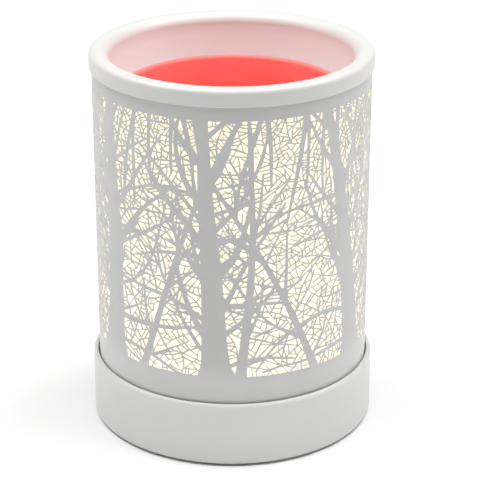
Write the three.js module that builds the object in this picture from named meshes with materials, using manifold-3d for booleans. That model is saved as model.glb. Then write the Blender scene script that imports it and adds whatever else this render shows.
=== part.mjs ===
// Electric aroma lamp: a lit, tree-patterned shade on a round base, with a lift-off wax dish on top.
// Millimetres, +Z up. The origin is on the table under the lamp's centre, and the front faces -Y.

import * as THREE from 'three';
import { mergeVertices } from 'three/addons/utils/BufferGeometryUtils.js';
import Module from 'manifold-3d';

const wasm = await Module();
wasm.setup();

// Fineness of round shapes
const RING_SIDES = 48;
const SMALL_SIDES = 8;
const BULB_SIDES = 24;
const LEAD_SIDES = 6;
const ARC_STEPS = 3;
const MERGE_DISTANCE = 1e-4;
const DEGREE = Math.PI / 180;

// Clearances
const RUNNING_GAP = 0.3;
const RING_GAP = 0.3;
const SCREW_GAP = 0.2;
const CUT_PAST = 1;

// Base housing, round the shade's foot, heights above the table
const BASE_PLAY = 0.55;
const BASE_WALL = 2;
const BASE_TOP = 28;
const BASE_LIP_ROUND = 1.8;
const BASE_HEM_ROUND = 0.8;
const LEDGE_TOP = 19;
const LEDGE_THICK = 2;
const LEDGE_REACH = 14;
const BOSS_INSET = 7.5;
const BOSS_RADIUS = 3.6;
const PILOT_RADIUS = 1.5;
const COVER_PILOT_DEPTH = 9;
const TRAY_PILOT_DEPTH = 5.5;
const BOSS_AZIMUTHS = [30, 150, 270];

// Bottom cover and feet
const COVER_THICK = 2;
const FOOT_PROUD = 1;
const FOOT_RECESS = 1;
const FOOT_RADIUS = 5.2;
const FOOT_INSET = 14;
const FOOT_AZIMUTHS = [45, 135, 225, 315];
const COVER_VENTS = 8;
const COVER_VENT_CIRCLE = 16;
const VENT_LENGTH = 11;
const VENT_WIDTH = 3;

// Tray that carries the shade and the lamp bracket
const TRAY_THICK = 1;
const TRAY_LIP_HEIGHT = 7;
const TRAY_LIP_THICK = 0.6;
const TRAY_LEAD_HOLE = 9;
const TRAY_VENTS = 8;
const TRAY_VENT_CIRCLE = 37;

// Shade, its pattern and the diffuser behind it
const SHADE_RADIUS = 57.45;
const SHADE_THICK = 0.5;
const SHADE_HEIGHT = 133.2;
const BAND_BELOW = 19.4;
const BAND_ABOVE = 4.7;
const SEAM_SLIT = 0.6;
const SEAM_BAND = 10;
const STRIP_WIDTH = 7;
const STRIP_THICK = 0.45;
const STRIP_GAP = 0.1;
const STRIP_END_GAP = 0.6;
const LINER_THICK = 0.55;
const RIVET_HEIGHT = 3.5;
const RIVET_RADIUS = 1;
const RIVET_HEAD_RADIUS = 1.9;
const RIVET_HEAD_THICK = 0.3;
const RIVET_TAIL_THICK = 1;
const RIVET_HEAD_GAP = 0.05;

// Trees on the unrolled sheet: foot and lean in degrees, girth in millimetres
const TREES = [
  { foot: -58, lean: 0.5, girth: 13.5, seed: 11 },
  { foot: -6.5, lean: -0.5, girth: 11.5, seed: 29 },
  { foot: 60, lean: -6, girth: 12.5, seed: 47 },
  { foot: 112, lean: 3, girth: 11, seed: 61 },
  { foot: 155, lean: -3, girth: 11.5, seed: 83 },
  { foot: -108, lean: -2, girth: 11.5, seed: 101 },
  { foot: -152, lean: 3, girth: 11, seed: 127 },
];
const SAPLINGS = [
  { foot: -40, lean: 18, girth: 3, seed: 149 },
  { foot: 3, lean: 9, girth: 4, seed: 163 },
  { foot: 37, lean: -21, girth: 3.2, seed: 181 },
  { foot: 84, lean: 10, girth: 3.2, seed: 199 },
  { foot: 132, lean: -12, girth: 3.2, seed: 211 },
  { foot: -84, lean: 12, girth: 3.2, seed: 227 },
  { foot: -130, lean: -12, girth: 3.2, seed: 239 },
];
const TRUNK_RISE = 118;
const TRUNK_WOBBLE = 0.15;
const TREE_TIP = 3.5;
const SAPLING_TIP = 1;
const ROOT_DEPTH = 3;
const ROOT_FLARE = 1.35;
const STEM_STEP = 20;
const LAST_LIMB = 0.9;
const REACH_LOSS = 0.4;

// How limbs leave a trunk: lengths in millimetres, angles in degrees, pairs as least and most
const TREE_LIMBS = {
  first: 14, gap: [7, 12], opening: [30, 58], reach: [40, 70], share: 0.45, width: [2, 4.4], tip: 0.8,
  turn: [0.2, 0.9], wobble: 0.7,
};
const SAPLING_LIMBS = {
  first: 18, gap: [16, 26], opening: [26, 48], reach: [24, 40], share: 0.6, width: [1, 1.8], tip: 0.6,
  turn: [0.2, 0.9], wobble: 0.7,
};

// Thin upright stems that run into the band above: lengths in millimetres, angles in degrees
const POLES = { seed: 907, gap: [6, 10], foot: [102, 130], lean: [-8, 8], width: 0.8, tip: [1.2, 2.4], wobble: 0.5 };

// Ring at the top of the shade, where the dish sits
const DISH_RING_THICK = 1;
const DISH_RING_WIDTH = 3.25;
const DISH_RING_SKIRT = 4.7;
const DISH_RING_SKIRT_THICK = 0.6;

// Dish, heights above its seat on the ring
const RIM_OVERHANG = 1.05;
const RIM_WIDTH = 8.5;
const RIM_HEIGHT = 7.1;
const RIM_HEM_ROUND = 1.2;
const RIM_OUTER_ROUND = 2.2;
const RIM_INNER_ROUND = 4.5;
const BOWL_TAPER = 6;
const BOWL_DEPTH = 25.8;
const BOWL_WALL = 4;
const BOWL_FLOOR_THICK = 3.5;
const BOWL_FILLET = 4;
const BOWL_FOOT_ROUND = 6;
const BOWL_FOOT_LEAN = 20;
const WAX_DEPTH = 8;

// Lamp bracket and lamp holder
const BRACKET_TOP = 40;
const BRACKET_THICK = 1;
const BRACKET_HALF_SPAN = 17;
const BRACKET_DEPTH = 27;
const BRACKET_FOOT = 12;
const BRACKET_LEAD_HOLE = 7.2;
const HOLDER_RADIUS = 15.5;
const HOLDER_HEIGHT = 18;
const HOLDER_CHAMFER = 1;
const HOLDER_SCREW_SPREAD = 10.6;
const HOLDER_SCREW_DEPTH = 6;
const SLOT_LIP = 1.6;
const SLOT_CHAMBER = 6.9;
const SLOT_NECK_HALF = 1.95;
const SLOT_CHAMBER_HALF = 2.9;
const LEAD_HOLE_RADIUS = 1.5;

// Reflector bulb with a twist-lock cap
const PIN_SPREAD = 5;
const PIN_SHANK_RADIUS = 1.6;
const PIN_SHANK = 3.7;
const PIN_HEAD_RADIUS = 2.4;
const PIN_HEAD = 3;
const TWIST = 30;
const CAP_FOOT_RADIUS = 9.8;
const CAP_RADIUS = 13.5;
const CAP_HEIGHT = 13.7;
const REFLECTOR_RADIUS = 25;
const REFLECTOR_HEIGHT = 29.5;
const REFLECTOR_WALL = 1.3;
const CAPSULE_RADIUS = 4.6;
const CAPSULE_HEIGHT = 20;
const FRONT_GLASS_THICK = 3;
const FRONT_GLASS_CROWN = 1;
const CONTACT_LENGTH = 4;
const CONTACT_WIDTH = 3;
const CONTACT_SHEET = 0.5;

// Screws and nuts
const SCREW_RADIUS = 1.3;
const SCREW_HEAD_RADIUS = 2.8;
const SCREW_HEAD = 1.1;
const SCREW_SLOT = 0.7;
const NUT_RADIUS = 3.1;
const NUT_HEIGHT = 2.4;
const COVER_SCREW_LENGTH = 8;
const TRAY_SCREW_LENGTH = 5.5;
const BRACKET_SCREW_LENGTH = 6;
const HOLDER_SCREW_LENGTH = 6;

// Wiring in the base: terminal block, earth point and leads
const BLOCK_CENTRE_X = -8;
const BLOCK_FRONT_Y = 24;
const BLOCK_LENGTH = 29;
const BLOCK_DEPTH = 14;
const BLOCK_HEIGHT = 9.5;
const BLOCK_PITCH = 9;
const BLOCK_BORE = 1.7;
const BLOCK_BORE_HEIGHT = 4.5;
const TERMINAL_SCREW_LENGTH = 2.6;
const LEAD_RADIUS = 1;
const LEAD_STEPS = 18;
const LEAD_STRAIGHT = 5;
const LEAD_BELOW_BRACKET = 10;
const LEAD_ABOVE_BRACKET = 3;
const LEAD_EARTH_RUN = 4;
const LEAD_EARTH_DROP = 1.5;
const NEUTRAL_WAY = [[-13, 8, 9.5], [-7.5, 2, 14.5]];
const LIVE_WAY = [[13.5, 18, 12.5], [8, 7, 14.5]];
const SWITCH_WAY = [[8, 13, 7.5], [19, 18, 9]];
const EARTH_WAY = [[-5, 9, 7.5], [0, 0, 10.5]];
const EARTH_Y = -20;
const EARTH_TAG_RADIUS = 4;
const EARTH_TAG_THICK = 0.8;
const EARTH_BARREL_LENGTH = 9;
const EARTH_BARREL_WIDTH = 2.6;

// Cord gland at the back
const GLAND_HEIGHT = 9.8;
const GLAND_BORE = 3.4;
const GLAND_RADIUS = 4.7;
const GLAND_FLANGE_RADIUS = 6.2;
const GLAND_FLANGE = 1.6;
const GLAND_LENGTH = 8.5;
const GLAND_NUT_RADIUS = 6.6;
const GLAND_NUT = 2.6;

// Rocker switch at the back, off to one side
const SWITCH_AZIMUTH = 52;
const SWITCH_HEIGHT = 11;
const SWITCH_HALF_WIDTH = 6.7;
const SWITCH_HALF_HEIGHT = 4.4;
const SWITCH_DEPTH = 13;
const BEZEL_EDGE = 1.3;
const BEZEL_THICK = 1.3;
const WELL_HALF_WIDTH = 6;
const WELL_HALF_HEIGHT = 3.6;
const WELL_DEPTH = 5.6;
const ROCKER_HALF_WIDTH = 5.3;
const ROCKER_HALF_HEIGHT = 3.2;
const ROCKER_CROWN = 2.6;
const ROCKER_DIP = 1.8;
const ROCKER_BELLY = 1.6;
const ROCKER_TILT = 8;
const ROCKER_PIVOT_DEPTH = 0.7;
const TRUNNION_RADIUS = 0.8;
const TRUNNION_REACH = 0.5;
const TAB_LENGTH = 6;
const TAB_WIDTH = 4.6;
const TAB_THICK = 0.8;
const TAB_SPREAD = 3;

// Levels and radii that follow from the sizes above
const COVER_BOTTOM = FOOT_PROUD;
const COVER_TOP = COVER_BOTTOM + COVER_THICK;
const BASE_INNER = SHADE_RADIUS + BASE_PLAY;
const BASE_RADIUS = BASE_INNER + BASE_WALL;
const BOSS_CIRCLE = BASE_INNER - BOSS_INSET;
const FOOT_CIRCLE = BASE_INNER - FOOT_INSET;
const LEDGE_INNER = BASE_INNER - LEDGE_REACH;
const TRAY_TOP = LEDGE_TOP + TRAY_THICK;
const SHADE_INNER = SHADE_RADIUS - SHADE_THICK;
const SHADE_TOP = TRAY_TOP + SHADE_HEIGHT;
const PATTERN_FOOT = TRAY_TOP + BAND_BELOW;
const PATTERN_TOP = SHADE_TOP - BAND_ABOVE;
const LINER_OUTER = SHADE_INNER - RING_GAP;
const LINER_INNER = LINER_OUTER - LINER_THICK;
const LIP_OUTER = LINER_INNER - RING_GAP;
const LIP_INNER = LIP_OUTER - TRAY_LIP_THICK;
const RIVET_Z = TRAY_TOP + RIVET_HEIGHT;
const SEAT = SHADE_TOP + DISH_RING_THICK;
const DISH_RING_BORE = SHADE_RADIUS - DISH_RING_WIDTH;
const RIM_RADIUS = SHADE_RADIUS + RIM_OVERHANG;
const MOUTH_RADIUS = RIM_RADIUS - RIM_WIDTH;
const BOWL_FLOOR_RADIUS = MOUTH_RADIUS - BOWL_TAPER;
const RIM_TOP = SEAT + RIM_HEIGHT;
const BOWL_FLOOR = RIM_TOP - BOWL_DEPTH;
const BOWL_BOTTOM = BOWL_FLOOR - BOWL_FLOOR_THICK;
const HOLDER_TOP = BRACKET_TOP + HOLDER_HEIGHT;
const CHAMBER_TOP = HOLDER_TOP - SLOT_LIP;
const CHAMBER_FLOOR = CHAMBER_TOP - SLOT_CHAMBER;
const CAP_BOTTOM = HOLDER_TOP + RUNNING_GAP;
const CAP_TOP = CAP_BOTTOM + CAP_HEIGHT;
const REFLECTOR_TOP = CAP_TOP + REFLECTOR_HEIGHT;
const SCREW_HOLE = SCREW_RADIUS + SCREW_GAP + SCREW_GAP;
const BRACKET_SCREW_X = BRACKET_HALF_SPAN + BRACKET_FOOT / 2;
const BLOCK_BORE_Z = COVER_TOP + BLOCK_BORE_HEIGHT;

const lamp = new THREE.Group();

/** Adds one named piece to a group, with a material of its own. */
function addPart(name, geometry, finish, group = lamp) {
  const mesh = new THREE.Mesh(geometry, new THREE.MeshStandardMaterial(finish));
  mesh.name = name;
  group.add(mesh);
  return mesh;
}

/** Turns a closed geometry into a solid that can be joined and cut. */
function solid(geometry) {
  const bare = geometry.clone();
  bare.deleteAttribute('normal');
  bare.deleteAttribute('uv');
  const merged = mergeVertices(bare, MERGE_DISTANCE);
  const corners = merged.index.array;
  const triangles = [];
  for (let i = 0; i < corners.length; i += 3) {
    const [a, b, c] = corners.slice(i, i + 3);
    if (a !== b && b !== c && c !== a) triangles.push(a, b, c);
  }
  return new wasm.Manifold(new wasm.Mesh({
    numProp: 3,
    vertProperties: new Float32Array(merged.attributes.position.array),
    triVerts: new Uint32Array(triangles),
  }));
}

/** Gives a cut solid back as a geometry. */
function geometryOf(body) {
  const { vertProperties, triVerts } = body.getMesh();
  const geometry = new THREE.BufferGeometry();
  geometry.setAttribute('position', new THREE.BufferAttribute(new Float32Array(vertProperties), 3));
  geometry.setIndex(new THREE.BufferAttribute(new Uint32Array(triVerts), 1));
  geometry.computeVertexNormals();
  return geometry;
}

/** Takes a list of geometries out of a solid. */
function cut(body, geometries) {
  return geometries.reduce((rest, geometry) => rest.subtract(solid(geometry)), body);
}

/** Joins a list of geometries to a solid. */
function join(body, geometries) {
  return geometries.reduce((whole, geometry) => whole.add(solid(geometry)), body);
}

/** A shape turned about Z from [radius, height] points, which meet on the axis or close on themselves. */
function turned(profile, sides = RING_SIDES) {
  const points = profile.map(([radius, height]) => new THREE.Vector2(radius, height));
  const meetsAxis = profile[0][0] === 0 && profile.at(-1)[0] === 0;
  if (THREE.ShapeUtils.area(points) < 0) points.reverse();
  if (!meetsAxis) points.push(points[0].clone());
  return new THREE.LatheGeometry(points, sides).rotateX(Math.PI / 2);
}

/** Points of a round corner, as [x, y], from one angle to another in degrees. */
function corner(x, y, radius, from, to, steps = ARC_STEPS) {
  return Array.from({ length: steps + 1 }, (_, i) => {
    const angle = (from + (to - from) * i / steps) * DEGREE;
    return [x + radius * Math.cos(angle), y + radius * Math.sin(angle)];
  });
}

/** A flat outline pulled up along Z by a height. */
function pulled(shape, height, curveSegments = ARC_STEPS * 2) {
  return new THREE.ExtrudeGeometry(shape, { depth: height, bevelEnabled: false, curveSegments });
}

/** An outline through [x, y] points. */
function outline(points) {
  return new THREE.Shape(points.map(([x, y]) => new THREE.Vector2(x, y)));
}

/** An upright round bar between two heights. */
function bar(radius, bottom, top, sides = SMALL_SIDES) {
  return turned([[0, bottom], [radius, bottom], [radius, top], [0, top]], sides);
}

/** A box given by its middle in X and Y, its size, and its bottom and top. */
function block(x, y, width, depth, bottom, top) {
  const box = new THREE.BoxGeometry(width, depth, top - bottom);
  return box.translate(x, y, (bottom + top) / 2);
}

/** Moves a geometry out to a circle at an azimuth in degrees. */
function onCircle(geometry, circle, azimuth) {
  return geometry.translate(circle, 0, 0).rotateZ(azimuth * DEGREE);
}

/** The point on a circle at an azimuth in degrees. */
function circlePoint(circle, azimuth) {
  return [circle * Math.cos(azimuth * DEGREE), circle * Math.sin(azimuth * DEGREE)];
}

/** Lays an upright geometry along +X. */
function layAlongX(geometry) {
  return geometry.rotateY(Math.PI / 2);
}

/** Evenly spaced radial vent slots between two heights. */
function vents(count, circle, bottom, top) {
  return Array.from({ length: count }, (_, i) => (
    onCircle(block(0, 0, VENT_LENGTH, VENT_WIDTH, bottom, top), circle, (i + 0.5) * 360 / count)
  ));
}

/** A slotted screw: its head stands on z = 0 and its shank hangs below. */
function screw(length, headRadius = SCREW_HEAD_RADIUS, head = SCREW_HEAD) {
  const body = solid(turned([
    [0, -length], [SCREW_RADIUS - SCREW_GAP, -length], [SCREW_RADIUS, SCREW_RADIUS - length],
    [SCREW_RADIUS, 0], [headRadius, 0], [headRadius, head / 2], [headRadius * 0.8, head], [0, head],
  ], SMALL_SIDES));
  return geometryOf(cut(body, [block(0, 0, headRadius * 3, SCREW_SLOT, head / 2, head + CUT_PAST)]));
}

/** A hexagon nut that hangs below z = 0. */
function hexNut(radius, bore, height) {
  const hexagon = outline(corner(0, 0, radius, 0, 300, 5));
  hexagon.holes.push(new THREE.Path().absarc(0, 0, bore, 0, Math.PI * 2, true));
  return pulled(hexagon, height).translate(0, 0, -height);
}

/** A repeatable stream of numbers between 0 and 1. */
function numberStream(seed) {
  const prime = 2147483647;
  let state = seed * 7919 % prime;
  return () => {
    state = state * 48271 % prime;
    return state / prime;
  };
}

/** One tapering stem: points along its spine on the unrolled sheet, each with a lean and a width. */
function growStem(draw, start, length, tip, turn, wobble) {
  const steps = Math.max(2, Math.ceil(length / STEM_STEP));
  const step = length / steps;
  const spine = [start];
  let stray = 0;
  for (let i = 1; i <= steps; i += 1) {
    const last = spine.at(-1);
    stray = stray / 2 + wobble * (2 * draw() - 1);
    const lean = last.lean + (turn + stray) * step;
    spine.push({
      arc: last.arc + step * Math.sin(lean * DEGREE),
      height: last.height + step * Math.cos(lean * DEGREE),
      lean,
      width: start.width + (tip - start.width) * i / steps,
    });
  }
  return spine;
}

/** A point part of the way along a stem's spine. */
function alongStem(spine, share) {
  const place = share * (spine.length - 1);
  const index = Math.min(Math.floor(place), spine.length - 2);
  const between = (key) => THREE.MathUtils.lerp(spine[index][key], spine[index + 1][key], place - index);
  return { arc: between('arc'), height: between('height'), lean: between('lean'), width: between('width') };
}

/** A number drawn between a least and a most. */
function pick(draw, [least, most]) {
  return least + (most - least) * draw();
}

/** Limbs that leave a trunk to either hand in turn. */
function growLimbs(draw, trunk, habit) {
  const limbs = [];
  let hand = draw() < 0.5 ? 1 : -1;
  for (let place = habit.first; place < TRUNK_RISE * LAST_LIMB; place += pick(draw, habit.gap)) {
    const share = place / TRUNK_RISE;
    const from = alongStem(trunk, share);
    const lean = from.lean + hand * pick(draw, habit.opening);
    const reach = pick(draw, habit.reach) * (1 - REACH_LOSS * share);
    const width = Math.min(from.width * habit.share, pick(draw, habit.width));
    const turn = -hand * pick(draw, habit.turn);
    limbs.push(growStem(draw, { ...from, lean, width }, reach, habit.tip, turn, habit.wobble));
    hand = -hand;
  }
  return limbs;
}

/** A bare tree: a trunk with a flared foot and limbs to either side. */
function growTree({ foot, lean, girth, seed }, tip, habit) {
  const draw = numberStream(seed);
  const root = { arc: foot * DEGREE * SHADE_RADIUS, height: PATTERN_FOOT - ROOT_DEPTH, lean, width: girth };
  const trunk = growStem(draw, root, TRUNK_RISE, tip, 0, TRUNK_WOBBLE);
  const limbs = growLimbs(draw, trunk, habit);
  const flared = [{ ...root, width: girth * ROOT_FLARE }, ...trunk.slice(1)];
  return [flared, ...limbs];
}

/** Thin upright stems, all round the shade, that run into the band above the trees. */
function growPoles() {
  const draw = numberStream(POLES.seed);
  const reach = Math.PI * SHADE_RADIUS - SEAM_BAND / 2;
  const poles = [];
  for (let arc = -reach; arc < reach; arc += pick(draw, POLES.gap)) {
    const height = pick(draw, POLES.foot);
    const start = { arc, height, lean: pick(draw, POLES.lean), width: POLES.width };
    const tip = pick(draw, POLES.tip);
    poles.push(growStem(draw, start, PATTERN_TOP + ROOT_DEPTH - height, tip, 0, POLES.wobble));
  }
  return poles;
}

/** Bends a slab that lies flat, X along the arc and Y up, round the shade; its Z becomes the radius. */
function wrapped(geometry) {
  const place = geometry.attributes.position;
  for (let i = 0; i < place.count; i += 1) {
    const angle = place.getX(i) / SHADE_RADIUS;
    const radius = place.getZ(i);
    place.setXYZ(i, radius * Math.sin(angle), -radius * Math.cos(angle), place.getY(i));
  }
  return geometry;
}

/** A stem as a slab that passes through the sheet, ready to be kept from the windows. */
function stemSlab(spine, inner, outer) {
  const edge = (side) => spine.map(({ arc, height, lean, width }) => [
    arc + side * width / 2 * Math.cos(lean * DEGREE),
    height - side * width / 2 * Math.sin(lean * DEGREE),
  ]);
  const slab = pulled(outline([...edge(1).reverse(), ...edge(-1)].reverse()), outer - inner);
  return wrapped(slab.translate(0, 0, inner));
}

/** A plain ring between two radii and two heights. */
function plainRing(inner, outer, bottom, top, sides = RING_SIDES) {
  return turned([[inner, bottom], [outer, bottom], [outer, top], [inner, top]], sides);
}

/** A radial hole through the rings at a rivet's place. */
function rivetHole(azimuth) {
  const hole = layAlongX(bar(RIVET_RADIUS + RING_GAP, LIP_INNER - CUT_PAST, SHADE_RADIUS + CUT_PAST));
  return hole.translate(0, 0, RIVET_Z).rotateZ(azimuth * DEGREE);
}

const rivetHoles = () => BOSS_AZIMUTHS.map((azimuth) => rivetHole(azimuth));

// Finishes
const WHITE_PAINT = { color: 0xe9e8e3, roughness: 0.45, metalness: 0 };
const WHITE_GLAZE = { color: 0xefece6, roughness: 0.18, metalness: 0 };
const WHITE_PLASTIC = { color: 0xeceae6, roughness: 0.5, metalness: 0 };
const DIFFUSER = { color: 0xfff3d0, roughness: 0.7, metalness: 0, emissive: 0xffe9b0 };
const RED_WAX = { color: 0xd8281e, roughness: 0.15, metalness: 0 };
const BARE_STEEL = { color: 0xb5b7b8, roughness: 0.4, metalness: 1 };
const BRASS = { color: 0xc2a04f, roughness: 0.35, metalness: 1 };
const CERAMIC = { color: 0xe6e1d6, roughness: 0.6, metalness: 0 };
const MIRROR_COAT = { color: 0xcfd1d4, roughness: 0.15, metalness: 1 };
const CLEAR_GLASS = { color: 0xf4f6f4, roughness: 0.1, metalness: 0, transparent: true, opacity: 0.4 };
const RUBBER = { color: 0x3a3a3a, roughness: 0.9, metalness: 0 };
const BLOCK_PLASTIC = { color: 0xdcd8cc, roughness: 0.6, metalness: 0 };
const BROWN_LEAD = { color: 0x5e3b22, roughness: 0.6, metalness: 0 };
const BLUE_LEAD = { color: 0x2c5fa8, roughness: 0.6, metalness: 0 };
const GREEN_LEAD = { color: 0x6f9a2f, roughness: 0.6, metalness: 0 };

/** Round base shell with its rounded lip, inner ledge, screw bosses and rear openings. */
function makeBaseHousing() {
  const lipCentre = BASE_RADIUS - BASE_LIP_ROUND;
  const hemCentre = BASE_RADIUS - BASE_HEM_ROUND;
  const shell = solid(turned([
    [BASE_INNER, COVER_BOTTOM],
    ...corner(hemCentre, COVER_BOTTOM + BASE_HEM_ROUND, BASE_HEM_ROUND, -90, 0, 2),
    ...corner(lipCentre, BASE_TOP - BASE_LIP_ROUND, BASE_LIP_ROUND, 0, 90),
    [BASE_INNER, BASE_TOP],
    [BASE_INNER, LEDGE_TOP],
    [LEDGE_INNER, LEDGE_TOP],
    [LEDGE_INNER, LEDGE_TOP - LEDGE_THICK],
    [BASE_INNER, LEDGE_TOP - LEDGE_THICK],
  ]));
  const bosses = BOSS_AZIMUTHS.map((azimuth) => (
    onCircle(bar(BOSS_RADIUS, COVER_TOP, LEDGE_TOP - LEDGE_THICK / 2), BOSS_CIRCLE, azimuth)
  ));
  const pilots = BOSS_AZIMUTHS.flatMap((azimuth) => [
    onCircle(bar(PILOT_RADIUS, COVER_TOP - CUT_PAST, COVER_TOP + COVER_PILOT_DEPTH), BOSS_CIRCLE, azimuth),
    onCircle(bar(PILOT_RADIUS, LEDGE_TOP - TRAY_PILOT_DEPTH, LEDGE_TOP + CUT_PAST), BOSS_CIRCLE, azimuth),
  ]);
  const wallStart = BASE_INNER - BASE_WALL;
  const wallEnd = BASE_RADIUS + BASE_WALL;
  const glandHole = layAlongX(bar(GLAND_RADIUS + RUNNING_GAP, wallStart, wallEnd, RING_SIDES / 3));
  const switchHole = block(
    (wallStart + wallEnd) / 2, 0, wallEnd - wallStart, 2 * (SWITCH_HALF_WIDTH + RUNNING_GAP),
    SWITCH_HEIGHT - SWITCH_HALF_HEIGHT - RUNNING_GAP, SWITCH_HEIGHT + SWITCH_HALF_HEIGHT + RUNNING_GAP,
  );
  const body = cut(join(shell, bosses), [
    ...pilots,
    glandHole.translate(0, 0, GLAND_HEIGHT).rotateZ(Math.PI / 2),
    switchHole.rotateZ(SWITCH_AZIMUTH * DEGREE),
  ]);
  addPart('base_housing', geometryOf(body), WHITE_PLASTIC);
}

/** Bottom cover with its vents, screw holes and foot recesses, and the screws and feet in it. */
function makeBottomCover() {
  const coverRadius = BASE_INNER - RING_GAP;
  const plate = solid(bar(coverRadius, COVER_BOTTOM, COVER_TOP, RING_SIDES));
  const headDepth = SCREW_HEAD + SCREW_GAP;
  const holes = BOSS_AZIMUTHS.flatMap((azimuth) => [
    onCircle(bar(SCREW_HOLE, COVER_BOTTOM - CUT_PAST, COVER_TOP + CUT_PAST), BOSS_CIRCLE, azimuth),
    onCircle(
      bar(SCREW_HEAD_RADIUS + RUNNING_GAP, COVER_BOTTOM - CUT_PAST, COVER_BOTTOM + headDepth),
      BOSS_CIRCLE, azimuth,
    ),
  ]);
  const recesses = FOOT_AZIMUTHS.map((azimuth) => onCircle(
    bar(FOOT_RADIUS + RUNNING_GAP, COVER_BOTTOM - CUT_PAST, COVER_BOTTOM + FOOT_RECESS, RING_SIDES / 3),
    FOOT_CIRCLE, azimuth,
  ));
  const slots = vents(COVER_VENTS, COVER_VENT_CIRCLE, COVER_BOTTOM - CUT_PAST, COVER_TOP + CUT_PAST);
  const fixing = bar(SCREW_HOLE, COVER_BOTTOM + COVER_THICK / 4, COVER_TOP + CUT_PAST)
    .translate(BLOCK_CENTRE_X + BLOCK_PITCH / 2, BLOCK_FRONT_Y + BLOCK_DEPTH / 2, 0);
  addPart('bottom_cover', geometryOf(cut(plate, [...holes, ...recesses, ...slots, fixing])), WHITE_PLASTIC);

  BOSS_AZIMUTHS.forEach((azimuth, i) => {
    const piece = addPart(`cover_screw_${i + 1}`, screw(COVER_SCREW_LENGTH), BARE_STEEL);
    const [x, y] = circlePoint(BOSS_CIRCLE, azimuth);
    piece.position.set(x, y, COVER_BOTTOM + headDepth);
    piece.rotation.x = Math.PI;
  });

  const footTop = COVER_BOTTOM + FOOT_RECESS;
  FOOT_AZIMUTHS.forEach((azimuth, i) => {
    const foot = turned([
      [0, 0], [FOOT_RADIUS - FOOT_PROUD / 2, 0], [FOOT_RADIUS, FOOT_PROUD / 2],
      [FOOT_RADIUS, footTop], [0, footTop],
    ], RING_SIDES / 3);
    const piece = addPart(`rubber_foot_${i + 1}`, foot, RUBBER);
    const [x, y] = circlePoint(FOOT_CIRCLE, azimuth);
    piece.position.set(x, y, 0);
  });
}

/** Pressed tray on the ledge, with an upstand inside the shade, and its screws. */
function makeBaseTray() {
  const lipTop = TRAY_TOP + TRAY_LIP_HEIGHT;
  const pan = solid(turned([
    [0, LEDGE_TOP], [SHADE_RADIUS, LEDGE_TOP], [SHADE_RADIUS, TRAY_TOP], [LIP_OUTER, TRAY_TOP],
    [LIP_OUTER, lipTop], [LIP_INNER, lipTop], [LIP_INNER, TRAY_TOP], [0, TRAY_TOP],
  ]));
  const through = (radius) => bar(radius, LEDGE_TOP - CUT_PAST, TRAY_TOP + CUT_PAST);
  const holes = [
    bar(TRAY_LEAD_HOLE, LEDGE_TOP - CUT_PAST, TRAY_TOP + CUT_PAST, BULB_SIDES),
    ...BOSS_AZIMUTHS.map((azimuth) => onCircle(through(SCREW_HOLE), BOSS_CIRCLE, azimuth)),
    through(SCREW_HOLE).translate(BRACKET_SCREW_X, 0, 0),
    through(SCREW_HOLE).translate(-BRACKET_SCREW_X, 0, 0),
    through(SCREW_HOLE).translate(0, EARTH_Y, 0),
    ...vents(TRAY_VENTS, TRAY_VENT_CIRCLE, LEDGE_TOP - CUT_PAST, TRAY_TOP + CUT_PAST),
    ...rivetHoles(),
  ];
  addPart('base_tray', geometryOf(cut(pan, holes)), WHITE_PAINT);

  BOSS_AZIMUTHS.forEach((azimuth, i) => {
    const piece = addPart(`tray_screw_${i + 1}`, screw(TRAY_SCREW_LENGTH), BARE_STEEL);
    const [x, y] = circlePoint(BOSS_CIRCLE, azimuth);
    piece.position.set(x, y, TRAY_TOP);
  });
}

/** Sheet shade: a ring whose windows leave the trees and plain bands, with a slit at the back. */
function makeShade() {
  const sheet = solid(plainRing(SHADE_INNER, SHADE_RADIUS, TRAY_TOP, SHADE_TOP));
  const throughInner = SHADE_INNER - CUT_PAST;
  const throughOuter = SHADE_RADIUS + CUT_PAST;
  const slabInner = throughInner - 4 * CUT_PAST;
  const slabOuter = throughOuter + 4 * CUT_PAST;
  const trees = [
    ...TREES.flatMap((tree) => growTree(tree, TREE_TIP, TREE_LIMBS)),
    ...SAPLINGS.flatMap((tree) => growTree(tree, SAPLING_TIP, SAPLING_LIMBS)),
    ...growPoles(),
  ];
  const seamBand = block(0, SHADE_RADIUS, SEAM_BAND, SHADE_RADIUS / 2, TRAY_TOP, SHADE_TOP);
  const windows = cut(solid(plainRing(throughInner, throughOuter, PATTERN_FOOT, PATTERN_TOP)), [
    ...trees.map((spine) => stemSlab(spine, slabInner, slabOuter)),
    seamBand,
  ]);
  const slit = block(0, SHADE_RADIUS, SEAM_SLIT, SHADE_RADIUS / 2, TRAY_TOP - CUT_PAST, SHADE_TOP + CUT_PAST);
  addPart('shade', geometryOf(cut(sheet.subtract(windows), [slit, ...rivetHoles()])), WHITE_PAINT);

  const halfAngle = STRIP_WIDTH / 2 / SHADE_RADIUS;
  const stripInner = SHADE_RADIUS + STRIP_GAP;
  const strip = new THREE.Shape();
  strip.absarc(0, 0, stripInner + STRIP_THICK, Math.PI / 2 - halfAngle, Math.PI / 2 + halfAngle, false);
  strip.absarc(0, 0, stripInner, Math.PI / 2 + halfAngle, Math.PI / 2 - halfAngle, true);
  const stripFoot = BASE_TOP + STRIP_END_GAP;
  const stripHeight = SHADE_TOP - STRIP_END_GAP - stripFoot;
  addPart('seam_strip', pulled(strip, stripHeight, ARC_STEPS).translate(0, 0, stripFoot), WHITE_PAINT);
}

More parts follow.
